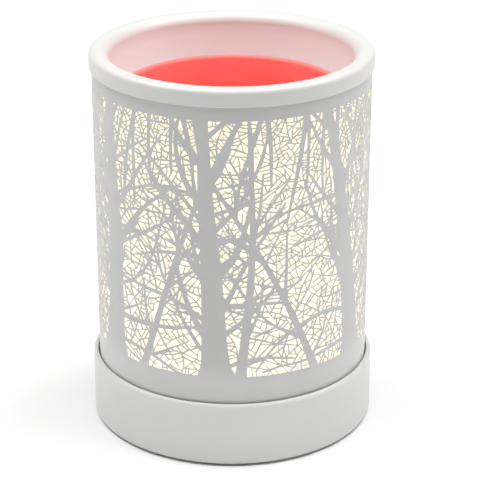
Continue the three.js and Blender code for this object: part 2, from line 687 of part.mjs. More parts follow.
/** Diffuser tube behind the cut-outs, and the rivets that hold it and the shade to the tray. */
function makeLiner() {
  const tube = solid(plainRing(LINER_INNER, LINER_OUTER, TRAY_TOP, SHADE_TOP));
  addPart('diffuser_liner', geometryOf(cut(tube, rivetHoles())), DIFFUSER);

  const headFace = SHADE_RADIUS + RIVET_HEAD_GAP;
  const tailFace = LIP_INNER - RING_GAP;
  const profile = [
    [0, tailFace - RIVET_TAIL_THICK], [RIVET_HEAD_RADIUS, tailFace - RIVET_TAIL_THICK],
    [RIVET_HEAD_RADIUS, tailFace], [RIVET_RADIUS, tailFace], [RIVET_RADIUS, headFace],
    [RIVET_HEAD_RADIUS, headFace], [RIVET_HEAD_RADIUS, headFace + RIVET_HEAD_THICK],
    [0, headFace + RIVET_HEAD_THICK],
  ];
  BOSS_AZIMUTHS.forEach((azimuth, i) => {
    const rivet = addPart(`shade_rivet_${i + 1}`, layAlongX(turned(profile, SMALL_SIDES)), WHITE_PAINT);
    rivet.position.z = RIVET_Z;
    rivet.rotation.z = azimuth * DEGREE;
  });
}

/** Ring in the mouth of the shade: a flange that the dish rests on and a skirt inside the liner. */
function makeDishRing() {
  const skirtInner = LIP_OUTER - DISH_RING_SKIRT_THICK;
  const skirtFoot = SHADE_TOP - DISH_RING_SKIRT;
  addPart('dish_ring', turned([
    [DISH_RING_BORE, SHADE_TOP], [skirtInner, SHADE_TOP], [skirtInner, skirtFoot], [LIP_OUTER, skirtFoot],
    [LIP_OUTER, SHADE_TOP], [SHADE_RADIUS, SHADE_TOP], [SHADE_RADIUS, SEAT], [DISH_RING_BORE, SEAT],
  ]), WHITE_PAINT);
}

/** Inner wall of the dish from the mouth down to the floor, drawn in by a gap. */
function bowlInside(gap) {
  const wallTop = RIM_TOP - RIM_INNER_ROUND;
  const wallRun = MOUTH_RADIUS - BOWL_FLOOR_RADIUS;
  const wallRise = wallTop - BOWL_FLOOR - BOWL_FILLET;
  const fromUpright = Math.atan2(wallRun, wallRise) / DEGREE;
  return {
    mouth: [MOUTH_RADIUS - gap, wallTop],
    floorCorner: corner(
      BOWL_FLOOR_RADIUS - BOWL_FILLET, BOWL_FLOOR + BOWL_FILLET, BOWL_FILLET - gap, -fromUpright, -90,
    ),
  };
}

/** Lift-off dish with a rolled rim, and the melted wax in it. */
function makeDish() {
  const inside = bowlInside(0);
  const footCentre = BOWL_FLOOR_RADIUS + BOWL_WALL - BOWL_FOOT_ROUND;
  addPart('dish', turned([
    [0, BOWL_BOTTOM],
    ...corner(footCentre, BOWL_BOTTOM + BOWL_FOOT_ROUND, BOWL_FOOT_ROUND, -90, -BOWL_FOOT_LEAN),
    [DISH_RING_BORE - 2 * RING_GAP, SEAT],
    ...corner(RIM_RADIUS - RIM_HEM_ROUND, SEAT + RIM_HEM_ROUND, RIM_HEM_ROUND, -90, 0, 2),
    ...corner(RIM_RADIUS - RIM_OUTER_ROUND, RIM_TOP - RIM_OUTER_ROUND, RIM_OUTER_ROUND, 0, 90),
    ...corner(MOUTH_RADIUS + RIM_INNER_ROUND, RIM_TOP - RIM_INNER_ROUND, RIM_INNER_ROUND, 90, 180),
    ...inside.floorCorner,
    [0, BOWL_FLOOR],
  ]), WHITE_GLAZE);

  const pool = bowlInside(RUNNING_GAP);
  const [footRadius, footHeight] = pool.floorCorner[0];
  const waxTop = BOWL_FLOOR + WAX_DEPTH;
  const share = (waxTop - footHeight) / (pool.mouth[1] - footHeight);
  const waxRadius = footRadius + (pool.mouth[0] - footRadius) * share;
  addPart('wax_melt', turned([
    [0, waxTop], [waxRadius, waxTop], ...pool.floorCorner, [0, BOWL_FLOOR + RUNNING_GAP],
  ]), RED_WAX);
}

/** Hat-shaped bracket on the tray with its screws and nuts. */
function makeBracket() {
  const spread = BRACKET_HALF_SPAN + BRACKET_FOOT;
  const legOuter = BRACKET_HALF_SPAN;
  const legInner = BRACKET_HALF_SPAN - BRACKET_THICK;
  const half = [
    [legInner, BRACKET_TOP - BRACKET_THICK], [legInner, TRAY_TOP], [spread, TRAY_TOP],
    [spread, TRAY_TOP + BRACKET_THICK], [legOuter, TRAY_TOP + BRACKET_THICK], [legOuter, BRACKET_TOP],
  ];
  const mirrored = half.map(([x, z]) => [-x, z]).reverse();
  const hat = pulled(outline([...half, ...mirrored]), BRACKET_DEPTH);
  hat.rotateX(Math.PI / 2).translate(0, BRACKET_DEPTH / 2, 0);
  const plateHole = (radius, sides) => (
    bar(radius, BRACKET_TOP - BRACKET_THICK - CUT_PAST, BRACKET_TOP + CUT_PAST, sides)
  );
  const footHole = () => bar(SCREW_HOLE, TRAY_TOP - CUT_PAST, TRAY_TOP + BRACKET_THICK + CUT_PAST);
  const body = cut(solid(hat), [
    plateHole(BRACKET_LEAD_HOLE, BULB_SIDES / 2),
    plateHole(SCREW_HOLE).translate(0, HOLDER_SCREW_SPREAD, 0),
    plateHole(SCREW_HOLE).translate(0, -HOLDER_SCREW_SPREAD, 0),
    footHole().translate(BRACKET_SCREW_X, 0, 0),
    footHole().translate(-BRACKET_SCREW_X, 0, 0),
  ]);
  addPart('lamp_bracket', geometryOf(body), BARE_STEEL);

  [-1, 1].forEach((side, i) => {
    const bolt = addPart(`bracket_screw_${i + 1}`, screw(BRACKET_SCREW_LENGTH), BARE_STEEL);
    bolt.position.set(side * BRACKET_SCREW_X, 0, TRAY_TOP + BRACKET_THICK);
    const nut = addPart(
      `bracket_nut_${i + 1}`, hexNut(NUT_RADIUS, SCREW_RADIUS + SCREW_GAP, NUT_HEIGHT), BARE_STEEL,
    );
    nut.position.set(side * BRACKET_SCREW_X, 0, LEDGE_TOP);
  });
}

/** A slot that follows the pins' turn, with round ends. */
function arcSlot(halfWidth, bottom, top, turn) {
  const [endX, endY] = circlePoint(PIN_SPREAD, TWIST);
  const end = TWIST * DEGREE;
  const slot = new THREE.Shape();
  slot.absarc(0, 0, PIN_SPREAD + halfWidth, 0, end, false);
  slot.absarc(endX, endY, halfWidth, end, end + Math.PI, false);
  slot.absarc(0, 0, PIN_SPREAD - halfWidth, end, 0, true);
  slot.absarc(PIN_SPREAD, 0, halfWidth, Math.PI, Math.PI * 2, false);
  return pulled(slot, top - bottom, ARC_STEPS).translate(0, 0, bottom).rotateZ(turn);
}

/** Ceramic lamp holder with twist-lock slots, its screws and its contact leaves. */
function makeLampHolder() {
  const chamferStart = HOLDER_RADIUS - HOLDER_CHAMFER;
  const puck = solid(turned([
    [0, BRACKET_TOP], [HOLDER_RADIUS, BRACKET_TOP], [HOLDER_RADIUS, HOLDER_TOP - HOLDER_CHAMFER],
    [chamferStart, HOLDER_TOP], [0, HOLDER_TOP],
  ], BULB_SIDES));
  const cuts = [0, Math.PI].flatMap((turn) => [
    arcSlot(SLOT_NECK_HALF, CHAMBER_TOP - CUT_PAST, HOLDER_TOP + CUT_PAST, turn),
    arcSlot(SLOT_CHAMBER_HALF, CHAMBER_FLOOR, CHAMBER_TOP, turn),
    bar(SLOT_CHAMBER_HALF, CHAMBER_TOP - CUT_PAST, HOLDER_TOP + CUT_PAST)
      .translate(PIN_SPREAD, 0, 0).rotateZ(turn + TWIST * DEGREE),
    bar(LEAD_HOLE_RADIUS, BRACKET_TOP - CUT_PAST, CHAMBER_FLOOR + CUT_PAST)
      .translate(PIN_SPREAD, 0, 0).rotateZ(turn),
  ]);
  const screwHoles = [-1, 1].map((side) => (
    bar(PILOT_RADIUS, BRACKET_TOP - CUT_PAST, BRACKET_TOP + HOLDER_SCREW_DEPTH)
      .translate(0, side * HOLDER_SCREW_SPREAD, 0)
  ));
  addPart('lamp_holder', geometryOf(cut(puck, [...cuts, ...screwHoles])), CERAMIC);

  const half = CONTACT_LENGTH / 2;
  const spring = CHAMBER_TOP - CHAMBER_FLOOR - PIN_SHANK - PIN_HEAD + SLOT_LIP;
  const leaf = pulled(outline([
    [-half, 0], [half, 0], [half, CONTACT_SHEET], [CONTACT_SHEET - half, CONTACT_SHEET],
    [half, spring - CONTACT_SHEET], [half, spring], [-half, CONTACT_SHEET],
  ]), CONTACT_WIDTH).rotateX(Math.PI / 2).translate(0, CONTACT_WIDTH / 2, 0);
  [-1, 1].forEach((side, i) => {
    const contact = addPart(`holder_contact_${i + 1}`, leaf, BRASS);
    contact.position.set(side * PIN_SPREAD, 0, CHAMBER_FLOOR);
    const bolt = addPart(`holder_screw_${i + 1}`, screw(HOLDER_SCREW_LENGTH), BARE_STEEL);
    bolt.position.set(0, side * HOLDER_SCREW_SPREAD, BRACKET_TOP - BRACKET_THICK);
    bolt.rotation.x = Math.PI;
  });
}

/** Reflector bulb: cap with two headed pins, mirrored bowl, light capsule and front glass. */
function makeBulb() {
  const neck = CAP_HEIGHT / 2;
  addPart('bulb_cap', turned([
    [0, CAP_BOTTOM], [CAP_FOOT_RADIUS, CAP_BOTTOM], [CAP_FOOT_RADIUS, CAP_BOTTOM + neck],
    [CAP_RADIUS, CAP_TOP - neck / 2], [CAP_RADIUS, CAP_TOP], [0, CAP_TOP],
  ], BULB_SIDES), CERAMIC);

  const pin = turned([
    [0, -PIN_SHANK - PIN_HEAD], [PIN_HEAD_RADIUS, -PIN_SHANK - PIN_HEAD], [PIN_HEAD_RADIUS, -PIN_SHANK],
    [PIN_SHANK_RADIUS, -PIN_SHANK], [PIN_SHANK_RADIUS, 0], [0, 0],
  ], SMALL_SIDES);
  [-1, 1].forEach((side, i) => {
    const piece = addPart(`bulb_pin_${i + 1}`, pin, BARE_STEEL);
    piece.position.set(side * PIN_SPREAD, 0, CAP_BOTTOM);
  });

  const flare = (inset) => Array.from({ length: 7 }, (_, i) => {
    const share = i / 6;
    const swell = Math.sin(share * Math.PI / 2);
    return [CAP_RADIUS + (REFLECTOR_RADIUS - CAP_RADIUS) * swell - inset, CAP_TOP + REFLECTOR_HEIGHT * share];
  });
  const inside = flare(REFLECTOR_WALL).slice(1).reverse();
  const neckFloor = CAP_TOP + REFLECTOR_WALL;
  const capsuleHole = CAPSULE_RADIUS + RUNNING_GAP;
  addPart('bulb_reflector', turned([
    [capsuleHole, CAP_TOP], ...flare(0), ...inside, [CAP_RADIUS - REFLECTOR_WALL, neckFloor],
    [capsuleHole, neckFloor],
  ], BULB_SIDES), MIRROR_COAT);

  const domeCentre = CAP_TOP + CAPSULE_HEIGHT - CAPSULE_RADIUS;
  const dome = corner(0, domeCentre, CAPSULE_RADIUS, 0, 90).slice(0, -1);
  addPart('bulb_capsule', turned([
    [0, CAP_TOP], [CAPSULE_RADIUS, CAP_TOP], ...dome, [0, CAP_TOP + CAPSULE_HEIGHT],
  ], BULB_SIDES / 2), CLEAR_GLASS);

  const glassEdge = REFLECTOR_TOP + FRONT_GLASS_THICK - FRONT_GLASS_CROWN;
  addPart('bulb_front_glass', turned([
    [0, REFLECTOR_TOP], [REFLECTOR_RADIUS, REFLECTOR_TOP], [REFLECTOR_RADIUS, glassEdge],
    [REFLECTOR_RADIUS * 0.7, REFLECTOR_TOP + FRONT_GLASS_THICK - FRONT_GLASS_CROWN / 3],
    [0, REFLECTOR_TOP + FRONT_GLASS_THICK],
  ], BULB_SIDES), CLEAR_GLASS);
}

/** Three-pole terminal block on the bottom cover, with its clamping screws and its fixing screw. */
function makeTerminalBlock() {
  const middleY = BLOCK_FRONT_Y + BLOCK_DEPTH / 2;
  const top = COVER_TOP + BLOCK_HEIGHT;
  const poles = [-1, 0, 1].map((i) => BLOCK_CENTRE_X + i * BLOCK_PITCH);
  const bores = poles.flatMap((x) => [
    bar(BLOCK_BORE, -CUT_PAST, BLOCK_DEPTH + CUT_PAST).rotateX(-Math.PI / 2)
      .translate(x, BLOCK_FRONT_Y, BLOCK_BORE_Z),
    bar(BLOCK_BORE, BLOCK_BORE_Z, top + CUT_PAST).translate(x, middleY, 0),
  ]);
  const fixingX = BLOCK_CENTRE_X + BLOCK_PITCH / 2;
  const fixing = bar(SCREW_HOLE, COVER_TOP - CUT_PAST, top + CUT_PAST).translate(fixingX, middleY, 0);
  const body = solid(block(BLOCK_CENTRE_X, middleY, BLOCK_LENGTH, BLOCK_DEPTH, COVER_TOP, top));
  addPart('terminal_block', geometryOf(cut(body, [...bores, fixing])), BLOCK_PLASTIC);

  poles.forEach((x, i) => {
    const clamp = screw(TERMINAL_SCREW_LENGTH, SCREW_RADIUS, SCREW_HEAD);
    const piece = addPart(`terminal_screw_${i + 1}`, clamp, BRASS);
    piece.position.set(x, middleY, BLOCK_BORE_Z + LEAD_RADIUS + RUNNING_GAP + TERMINAL_SCREW_LENGTH);
  });

  const hold = addPart('terminal_fixing_screw', screw(BLOCK_HEIGHT + COVER_THICK / 2), BARE_STEEL);
  hold.position.set(fixingX, middleY, top);
}

/** Earth tag under the tray with its screw and nut. */
function makeEarthPoint() {
  const tagBottom = LEDGE_TOP - EARTH_TAG_THICK;
  const eye = outline(corner(0, 0, EARTH_TAG_RADIUS, 0, 345, 23));
  eye.holes.push(new THREE.Path().absarc(0, 0, SCREW_HOLE, 0, Math.PI * 2, true));
  const ring = solid(pulled(eye, EARTH_TAG_THICK).translate(0, 0, tagBottom));
  const barrelStart = EARTH_TAG_RADIUS - EARTH_TAG_THICK;
  const barrelLength = EARTH_BARREL_LENGTH - barrelStart;
  const barrel = block(
    0, barrelStart + barrelLength / 2, EARTH_BARREL_WIDTH, barrelLength,
    LEDGE_TOP - EARTH_BARREL_WIDTH, LEDGE_TOP,
  );
  const tag = addPart('earth_tag', geometryOf(join(ring, [barrel])), BRASS);
  tag.position.y = EARTH_Y;

  const bolt = addPart('earth_screw', screw(BRACKET_SCREW_LENGTH), BRASS);
  bolt.position.set(0, EARTH_Y, TRAY_TOP);
  const nut = addPart('earth_nut', hexNut(NUT_RADIUS, SCREW_RADIUS + SCREW_GAP, NUT_HEIGHT), BRASS);
  nut.position.set(0, EARTH_Y, tagBottom);
}

/** An insulated lead along points chosen by hand. */
function makeLead(name, points, finish) {
  const route = new THREE.CatmullRomCurve3(points.map(([x, y, z]) => new THREE.Vector3(x, y, z)));
  const section = outline(corner(0, 0, LEAD_RADIUS, 0, 360 - 360 / LEAD_SIDES, LEAD_SIDES - 1));
  addPart(name, new THREE.ExtrudeGeometry(section, {
    steps: LEAD_STEPS, extrudePath: route, bevelEnabled: false,
  }), finish);
}

/** The leads between terminal block, switch, lamp holder and earth tag. */
function makeLeads() {
  const inBlock = BLOCK_FRONT_Y + BLOCK_DEPTH / 3;
  const atBlock = BLOCK_FRONT_Y - LEAD_STRAIGHT;
  const [neutralX, earthX, liveX] = [-1, 0, 1].map((i) => BLOCK_CENTRE_X + i * BLOCK_PITCH);
  const tabEnd = BASE_RADIUS - SWITCH_DEPTH - TAB_LENGTH - 2 * RUNNING_GAP;
  const atTab = (inset, side) => {
    const turn = SWITCH_AZIMUTH * DEGREE;
    const radius = tabEnd - inset;
    return [
      radius * Math.cos(turn) - side * TAB_SPREAD * Math.sin(turn),
      radius * Math.sin(turn) + side * TAB_SPREAD * Math.cos(turn),
      SWITCH_HEIGHT,
    ];
  };
  const toHolder = (x) => [
    [x, 0, LEDGE_TOP],
    [x, 0, BRACKET_TOP - LEAD_BELOW_BRACKET],
    [x, 0, BRACKET_TOP + LEAD_ABOVE_BRACKET],
    [x, 0, CHAMBER_FLOOR - RUNNING_GAP],
  ];
  makeLead('lead_neutral', [
    [neutralX, inBlock, BLOCK_BORE_Z], [neutralX, atBlock, BLOCK_BORE_Z], ...NEUTRAL_WAY,
    ...toHolder(-PIN_SPREAD),
  ], BLUE_LEAD);
  makeLead('lead_live', [
    atTab(0, 1), atTab(LEAD_STRAIGHT, 1), ...LIVE_WAY, ...toHolder(PIN_SPREAD),
  ], BROWN_LEAD);
  makeLead('lead_switch', [
    [liveX, inBlock, BLOCK_BORE_Z], [liveX, atBlock, BLOCK_BORE_Z], ...SWITCH_WAY,
    atTab(LEAD_STRAIGHT, -1), atTab(0, -1),
  ], BROWN_LEAD);
  const earthEnd = EARTH_Y + EARTH_BARREL_LENGTH + RUNNING_GAP;
  const earthZ = LEDGE_TOP - EARTH_BARREL_WIDTH / 2;
  makeLead('lead_earth', [
    [earthX, inBlock, BLOCK_BORE_Z], [earthX, atBlock, BLOCK_BORE_Z], ...EARTH_WAY,
    [0, earthEnd + LEAD_EARTH_RUN, earthZ - LEAD_EARTH_DROP], [0, earthEnd, earthZ],
  ], GREEN_LEAD);
}

/** Cord gland through the back wall, with its nut inside. */
function makeGland() {
  const flangeFace = BASE_RADIUS + RIVET_HEAD_GAP;
  const innerEnd = flangeFace - GLAND_LENGTH;
  const gland = turned([
    [GLAND_BORE, innerEnd], [GLAND_RADIUS, innerEnd], [GLAND_RADIUS, flangeFace],
    [GLAND_FLANGE_RADIUS, flangeFace], [GLAND_FLANGE_RADIUS, flangeFace + GLAND_FLANGE / 2],
    [GLAND_FLANGE_RADIUS - GLAND_FLANGE / 2, flangeFace + GLAND_FLANGE],
    [GLAND_BORE, flangeFace + GLAND_FLANGE],
  ], RING_SIDES / 3);
  const placed = addPart('cord_gland', layAlongX(gland), WHITE_PLASTIC);
  placed.position.z = GLAND_HEIGHT;
  placed.rotation.z = Math.PI / 2;

  const nutFace = Math.sqrt(BASE_INNER ** 2 - GLAND_NUT_RADIUS ** 2) - RUNNING_GAP;
  const nut = layAlongX(hexNut(GLAND_NUT_RADIUS, GLAND_RADIUS + RUNNING_GAP, GLAND_NUT));
  const nutPart = addPart('gland_nut', nut.translate(nutFace, 0, 0), WHITE_PLASTIC);
  nutPart.position.z = GLAND_HEIGHT;
  nutPart.rotation.z = Math.PI / 2;
}

/** Rocker switch in the back wall: body with its bezel and well, rocker on trunnions, and two tabs. */
function makeSwitch() {
  const group = new THREE.Group();
  group.rotation.z = SWITCH_AZIMUTH * DEGREE;
  group.position.z = SWITCH_HEIGHT;
  lamp.add(group);

  const bezelFace = BASE_RADIUS + RIVET_HEAD_GAP;
  const front = bezelFace + BEZEL_THICK;
  const back = BASE_RADIUS - SWITCH_DEPTH;
  const pivot = BASE_RADIUS - ROCKER_PIVOT_DEPTH;
  const cheekHole = ROCKER_HALF_HEIGHT + TRUNNION_REACH + RUNNING_GAP;
  const slab = (from, to, halfWidth, halfHeight) => (
    block((from + to) / 2, 0, to - from, 2 * halfWidth, -halfHeight, halfHeight)
  );
  const bodyBlock = solid(slab(back, front, SWITCH_HALF_WIDTH, SWITCH_HALF_HEIGHT));
  const bezel = slab(bezelFace, front, SWITCH_HALF_WIDTH + BEZEL_EDGE, SWITCH_HALF_HEIGHT + BEZEL_EDGE);
  const body = cut(join(bodyBlock, [bezel]), [
    slab(front - WELL_DEPTH, front + CUT_PAST, WELL_HALF_WIDTH, WELL_HALF_HEIGHT),
    bar(TRUNNION_RADIUS + SCREW_GAP, -cheekHole, cheekHole).translate(pivot, 0, 0),
  ]);
  addPart('switch_body', geometryOf(body), WHITE_PLASTIC, group);

  const side = [
    [-ROCKER_BELLY, 0], [0.2, -ROCKER_HALF_WIDTH], [ROCKER_CROWN, -ROCKER_HALF_WIDTH], [ROCKER_DIP, 0],
    [ROCKER_CROWN, ROCKER_HALF_WIDTH], [0.2, ROCKER_HALF_WIDTH],
  ];
  const paddle = pulled(outline(side), 2 * ROCKER_HALF_HEIGHT).translate(0, 0, -ROCKER_HALF_HEIGHT);
  const trunnion = ROCKER_HALF_HEIGHT + TRUNNION_REACH;
  const rocker = geometryOf(join(solid(paddle), [bar(TRUNNION_RADIUS, -trunnion, trunnion)]));
  const placed = addPart('switch_rocker', rocker, WHITE_PLASTIC, group);
  placed.position.x = pivot;
  placed.rotation.z = -ROCKER_TILT * DEGREE;

  const tabFront = back - RUNNING_GAP;
  [-1, 1].forEach((hand, i) => {
    const tab = new THREE.BoxGeometry(TAB_LENGTH, TAB_THICK, TAB_WIDTH);
    tab.translate(tabFront - TAB_LENGTH / 2, hand * TAB_SPREAD, 0);
    addPart(`switch_tab_${i + 1}`, tab, BRASS, group);
  });
}

makeBaseHousing();
makeBottomCover();
makeBaseTray();
makeShade();
makeLiner();
makeDishRing();
makeDish();
makeBracket();
makeLampHolder();
makeBulb();
makeTerminalBlock();
makeEarthPoint();
makeLeads();
makeGland();
makeSwitch();

export default lamp;
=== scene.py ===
"""Looks of an electric aroma lamp: a pierced, lit shade on a round base, with a wax dish on top.

Metres, +Z up, front toward -Y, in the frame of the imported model.
"""

import logging
import math
from collections.abc import Iterable, Sequence
from dataclasses import dataclass, field
from enum import Enum
from typing import NamedTuple

import bpy
import numpy as np
from mathutils import Matrix, Vector
from mathutils.geometry import delaunay_2d_cdt


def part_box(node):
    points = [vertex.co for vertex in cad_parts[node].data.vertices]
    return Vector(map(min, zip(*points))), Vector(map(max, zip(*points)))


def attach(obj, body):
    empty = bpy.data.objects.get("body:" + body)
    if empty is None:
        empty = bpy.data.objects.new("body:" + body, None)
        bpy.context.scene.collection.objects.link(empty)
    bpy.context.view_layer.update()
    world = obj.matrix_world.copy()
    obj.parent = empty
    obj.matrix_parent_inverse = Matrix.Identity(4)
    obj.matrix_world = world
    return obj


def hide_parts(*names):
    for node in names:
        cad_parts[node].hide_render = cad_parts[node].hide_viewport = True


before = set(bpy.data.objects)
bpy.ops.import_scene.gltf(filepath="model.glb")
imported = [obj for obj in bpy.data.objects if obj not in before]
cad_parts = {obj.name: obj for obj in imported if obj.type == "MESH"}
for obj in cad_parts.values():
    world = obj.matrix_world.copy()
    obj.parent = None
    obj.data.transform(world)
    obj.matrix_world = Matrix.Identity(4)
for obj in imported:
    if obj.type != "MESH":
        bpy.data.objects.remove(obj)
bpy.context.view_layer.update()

LOG = logging.getLogger("aroma_lamp")
MM = 0.001
TURN_STEPS = 192
SMALL_TURN_STEPS = 48
EASED_EDGE_DEGREES = 40
CREASE_DEGREES = 38
BLACK = (0.0, 0.0, 0.0)
WHITE = (1.0, 1.0, 1.0)

Point = tuple[float, float]
Triple = tuple[float, float, float]
Colour = Triple
Sockets = dict[str | int, object]
Value = "Signal | float"


class Signal:
    """A shader value that Python arithmetic builds on."""

    def __init__(self, shader: "Shader", socket: bpy.types.NodeSocket) -> None:
        """Wraps one output socket of a shader's node."""
        self.shader = shader
        self.socket = socket

    def __add__(self, other: Value) -> "Signal":
        """Adds a value."""
        return self.shader.math("ADD", self, other)

    def __sub__(self, other: Value) -> "Signal":
        """Takes a value away."""
        return self.shader.math("SUBTRACT", self, other)

    def __rsub__(self, other: Value) -> "Signal":
        """Takes this from a value."""
        return self.shader.math("SUBTRACT", other, self)

    def __mul__(self, other: Value) -> "Signal":
        """Multiplies by a value."""
        return self.shader.math("MULTIPLY", self, other)

    def __truediv__(self, other: Value) -> "Signal":
        """Divides by a value."""
        return self.shader.math("DIVIDE", self, other)

    __radd__ = __add__
    __rmul__ = __mul__


class Shader:
    """The node tree of one finish, or of the studio's air."""

    SURFACES = ("BSDF_PRINCIPLED", "BACKGROUND")

    def __init__(self, owner: bpy.types.Material | bpy.types.World) -> None:
        """Takes up the owner's node tree and its surface node.

        Args:
            owner: The material or world that the tree belongs to.
        """
        owner.use_nodes = True
        self.owner = owner
        self.tree = owner.node_tree
        self.surface = next(node for node in self.tree.nodes if node.type in self.SURFACES)

    def node(self, kind: str, settings: dict[str, object], sockets: Sockets) -> bpy.types.Node:
        """Adds a node.

        Args:
            kind: The node's type.
            settings: Properties that are set before its sockets.
            sockets: A value or a signal for each input that isn't left at its default.

        Returns:
            The new node.
        """
        made = self.tree.nodes.new(kind)
        for name, value in settings.items():
            setattr(made, name, value)
        self.feed(made, sockets)
        return made

    def feed(self, node: bpy.types.Node, sockets: Sockets) -> None:
        """Sets or links inputs of a node.

        Args:
            node: The node that is fed.
            sockets: A value or a signal for each input.
        """
        for key, value in sockets.items():
            if isinstance(value, Signal):
                self.tree.links.new(value.socket, node.inputs[key])
            else:
                node.inputs[key].default_value = value

    def math(self, operation: str, first: Value, second: Value = 0.0, clamp: bool = False) -> Signal:
        """Works out one value from two.

        Args:
            operation: The Math node's operation.
            first: Its first value.
            second: Its second value.
            clamp: Whether the result stays between 0 and 1.

        Returns:
            The result.
        """
        settings = {"operation": operation, "use_clamp": clamp}
        made = self.node("ShaderNodeMath", settings, {0: first, 1: second})
        return Signal(self, made.outputs[0])

    def between(self, value: Signal, start: float, end: float) -> Signal:
        """Runs from 0 where a value is at start to 1 where it is at end."""
        return self.math("MULTIPLY", value - start, 1.0 / (end - start), clamp=True)

    def millimetres(self, stretch: Triple = (1.0, 1.0, 1.0)) -> Signal:
        """Gives the place on the piece in millimetres.

        Args:
            stretch: How much finer a texture gets along each axis.

        Returns:
            The place as a vector.
        """
        place = self.node("ShaderNodeTexCoord", {}, {})
        per_metre = tuple(axis / MM for axis in stretch)
        scaled = self.node("ShaderNodeVectorMath", {"operation": "MULTIPLY"},
                           {0: Signal(self, place.outputs["Object"]), 1: per_metre})
        return Signal(self, scaled.outputs[0])

    def axes(self, place: Signal) -> tuple[Signal, Signal, Signal]:
        """Splits a vector into its X, Y and Z."""
        parts = self.node("ShaderNodeSeparateXYZ", {}, {0: place})
        return tuple(Signal(self, output) for output in parts.outputs)

    def off_axis(self, place: Signal) -> Signal:
        """Gives the distance of a place from the lamp's upright axis."""
        x, y, _ = self.axes(place)
        return self.math("SQRT", x * x + y * y)

    def noise(self, place: Signal, scale: float, detail: float = 2.0) -> Signal:
        """Gives cloudy values between 0 and 1.

        Args:
            place: Where the noise is read.
            scale: How many features fit into a unit of the place.
            detail: How many finer layers are added.

        Returns:
            The cloudy value.
        """
        made = self.node("ShaderNodeTexNoise", {}, {"Vector": place, "Scale": scale, "Detail": detail})
        return Signal(self, made.outputs["Fac"])

    def blend(self, share: Value, first: "Colour | Signal", second: "Colour | Signal") -> Signal:
        """Mixes two colours.

        Args:
            share: How much of the second colour shows.
            first: The colour at 0.
            second: The colour at 1.

        Returns:
            The mixed colour.
        """
        first, second = (c if isinstance(c, Signal) else (*c, 1.0) for c in (first, second))
        made = self.node("ShaderNodeMix", {"data_type": "RGBA"}, {0: share, 6: first, 7: second})
        return Signal(self, made.outputs[2])

    def bump(self, height: Signal, depth: float, strength: float = 1.0) -> Signal:
        """Raises a surface's shading by a height.

        Args:
            height: A value between 0 and 1.
            depth: How far 1 stands above 0, in metres.
            strength: How much of it shows.

        Returns:
            The normal.
        """
        made = self.node("ShaderNodeBump", {}, {"Height": height, "Distance": depth, "Strength": strength})
        return Signal(self, made.outputs[0])

    def finish(self, sockets: Sockets) -> bpy.types.Material | bpy.types.World:
        """Feeds the surface node and gives the finished material or world."""
        self.feed(self.surface, sockets)
        return self.owner


@dataclass(frozen=True)
class Finish:
    """What every finish has: a name of its own, and the name of the slot that it stands for."""

    name: str
    slot: str

    def material(self) -> bpy.types.Material:
        """Gives the finish's material, mixed the first time that it is asked for."""
        return bpy.data.materials.get(self.name) or self.mixed()

    def mixed(self) -> bpy.types.Material:
        """Mixes the material by the recipe of its kind."""
        shader = Shader(bpy.data.materials.new(self.name))
        return shader.finish(self.recipe(shader, shader.millimetres()))

    def recipe(self, shader: Shader, place: Signal) -> Sockets:
        """Gives what the surface is fed with, which each kind of finish says for itself.

        Args:
            shader: The finish's shader.
            place: The place on the piece, in millimetres.

        Returns:
            A value or a signal for each socket.
        """
        raise NotImplementedError


@dataclass(frozen=True)
class PowderCoat(Finish):
    """Baked white coat on sheet metal, with its orange-peel skin."""

    pale: Colour
    dull: Colour
    roughness: float = 0.5
    peel_depth: float = 0.010 * MM

    def recipe(self, shader: Shader, place: Signal) -> Sockets:
        """Mixes slow drifts of tone and a fine peel.

        Args:
            shader: The finish's shader.
            place: The place on the piece, in millimetres.

        Returns:
            A value or a signal for each socket.
        """
        drift = shader.noise(place, 0.04)
        peel = shader.noise(place, 1.5)
        grit = shader.noise(place, 6.0, detail=0.0)
        return {
            "Base Color": shader.blend(drift, self.dull, self.pale),
            "Roughness": peel * 0.2 + (self.roughness - 0.1),
            "Sheen Weight": 0.3,
            "Sheen Roughness": 0.4,
            "Normal": shader.bump(peel + grit * 0.3, self.peel_depth),
        }


@dataclass(frozen=True, kw_only=True)
class PiercedCoat(PowderCoat):
    """The coat of the pierced sheet: painted paler at its foot for the light bounced up off the floor and
    base, with cut edges that catch the light of the bulb.
    """

    face_mm: float
    face_skin_mm: float = 0.03
    # hem: the paler tone painted on the sheet's lower band, a painted bounce light from the floor and base
    # below.
    hem: Colour = (0.625, 0.627, 0.622)
    bounce_light_full_mm: float = 37.0
    bounce_light_fade_mm: float = 46.0
    edge_mm: float = 0.4
    edge_glow: Colour = (1.0, 0.92, 0.74)
    edge_strength: float = 0.28

    def recipe(self, shader: Shader, place: Signal) -> Sockets:
        """Adds the painted bounce light at the foot and the lit edges to the plain coat.

        Args:
            shader: The finish's shader.
            place: The place on the piece, in millimetres.

        Returns:
            A value or a signal for each socket.
        """
        plain = super().recipe(shader, place)
        # Painted bounce light: the sheet turns paler toward its foot, where light bouncing off the floor and
        # base falls.
        low = shader.between(shader.axes(place)[2], self.bounce_light_fade_mm, self.bounce_light_full_mm)
        reach = shader.off_axis(place)
        depth = shader.between(reach, self.face_mm - self.face_skin_mm, self.face_mm - self.edge_mm)
        return {
            **plain,
            "Base Color": shader.blend(low, plain["Base Color"], self.hem),
            "Emission Color": shader.blend(depth, BLACK, self.edge_glow),
            "Emission Strength": self.edge_strength,
        }


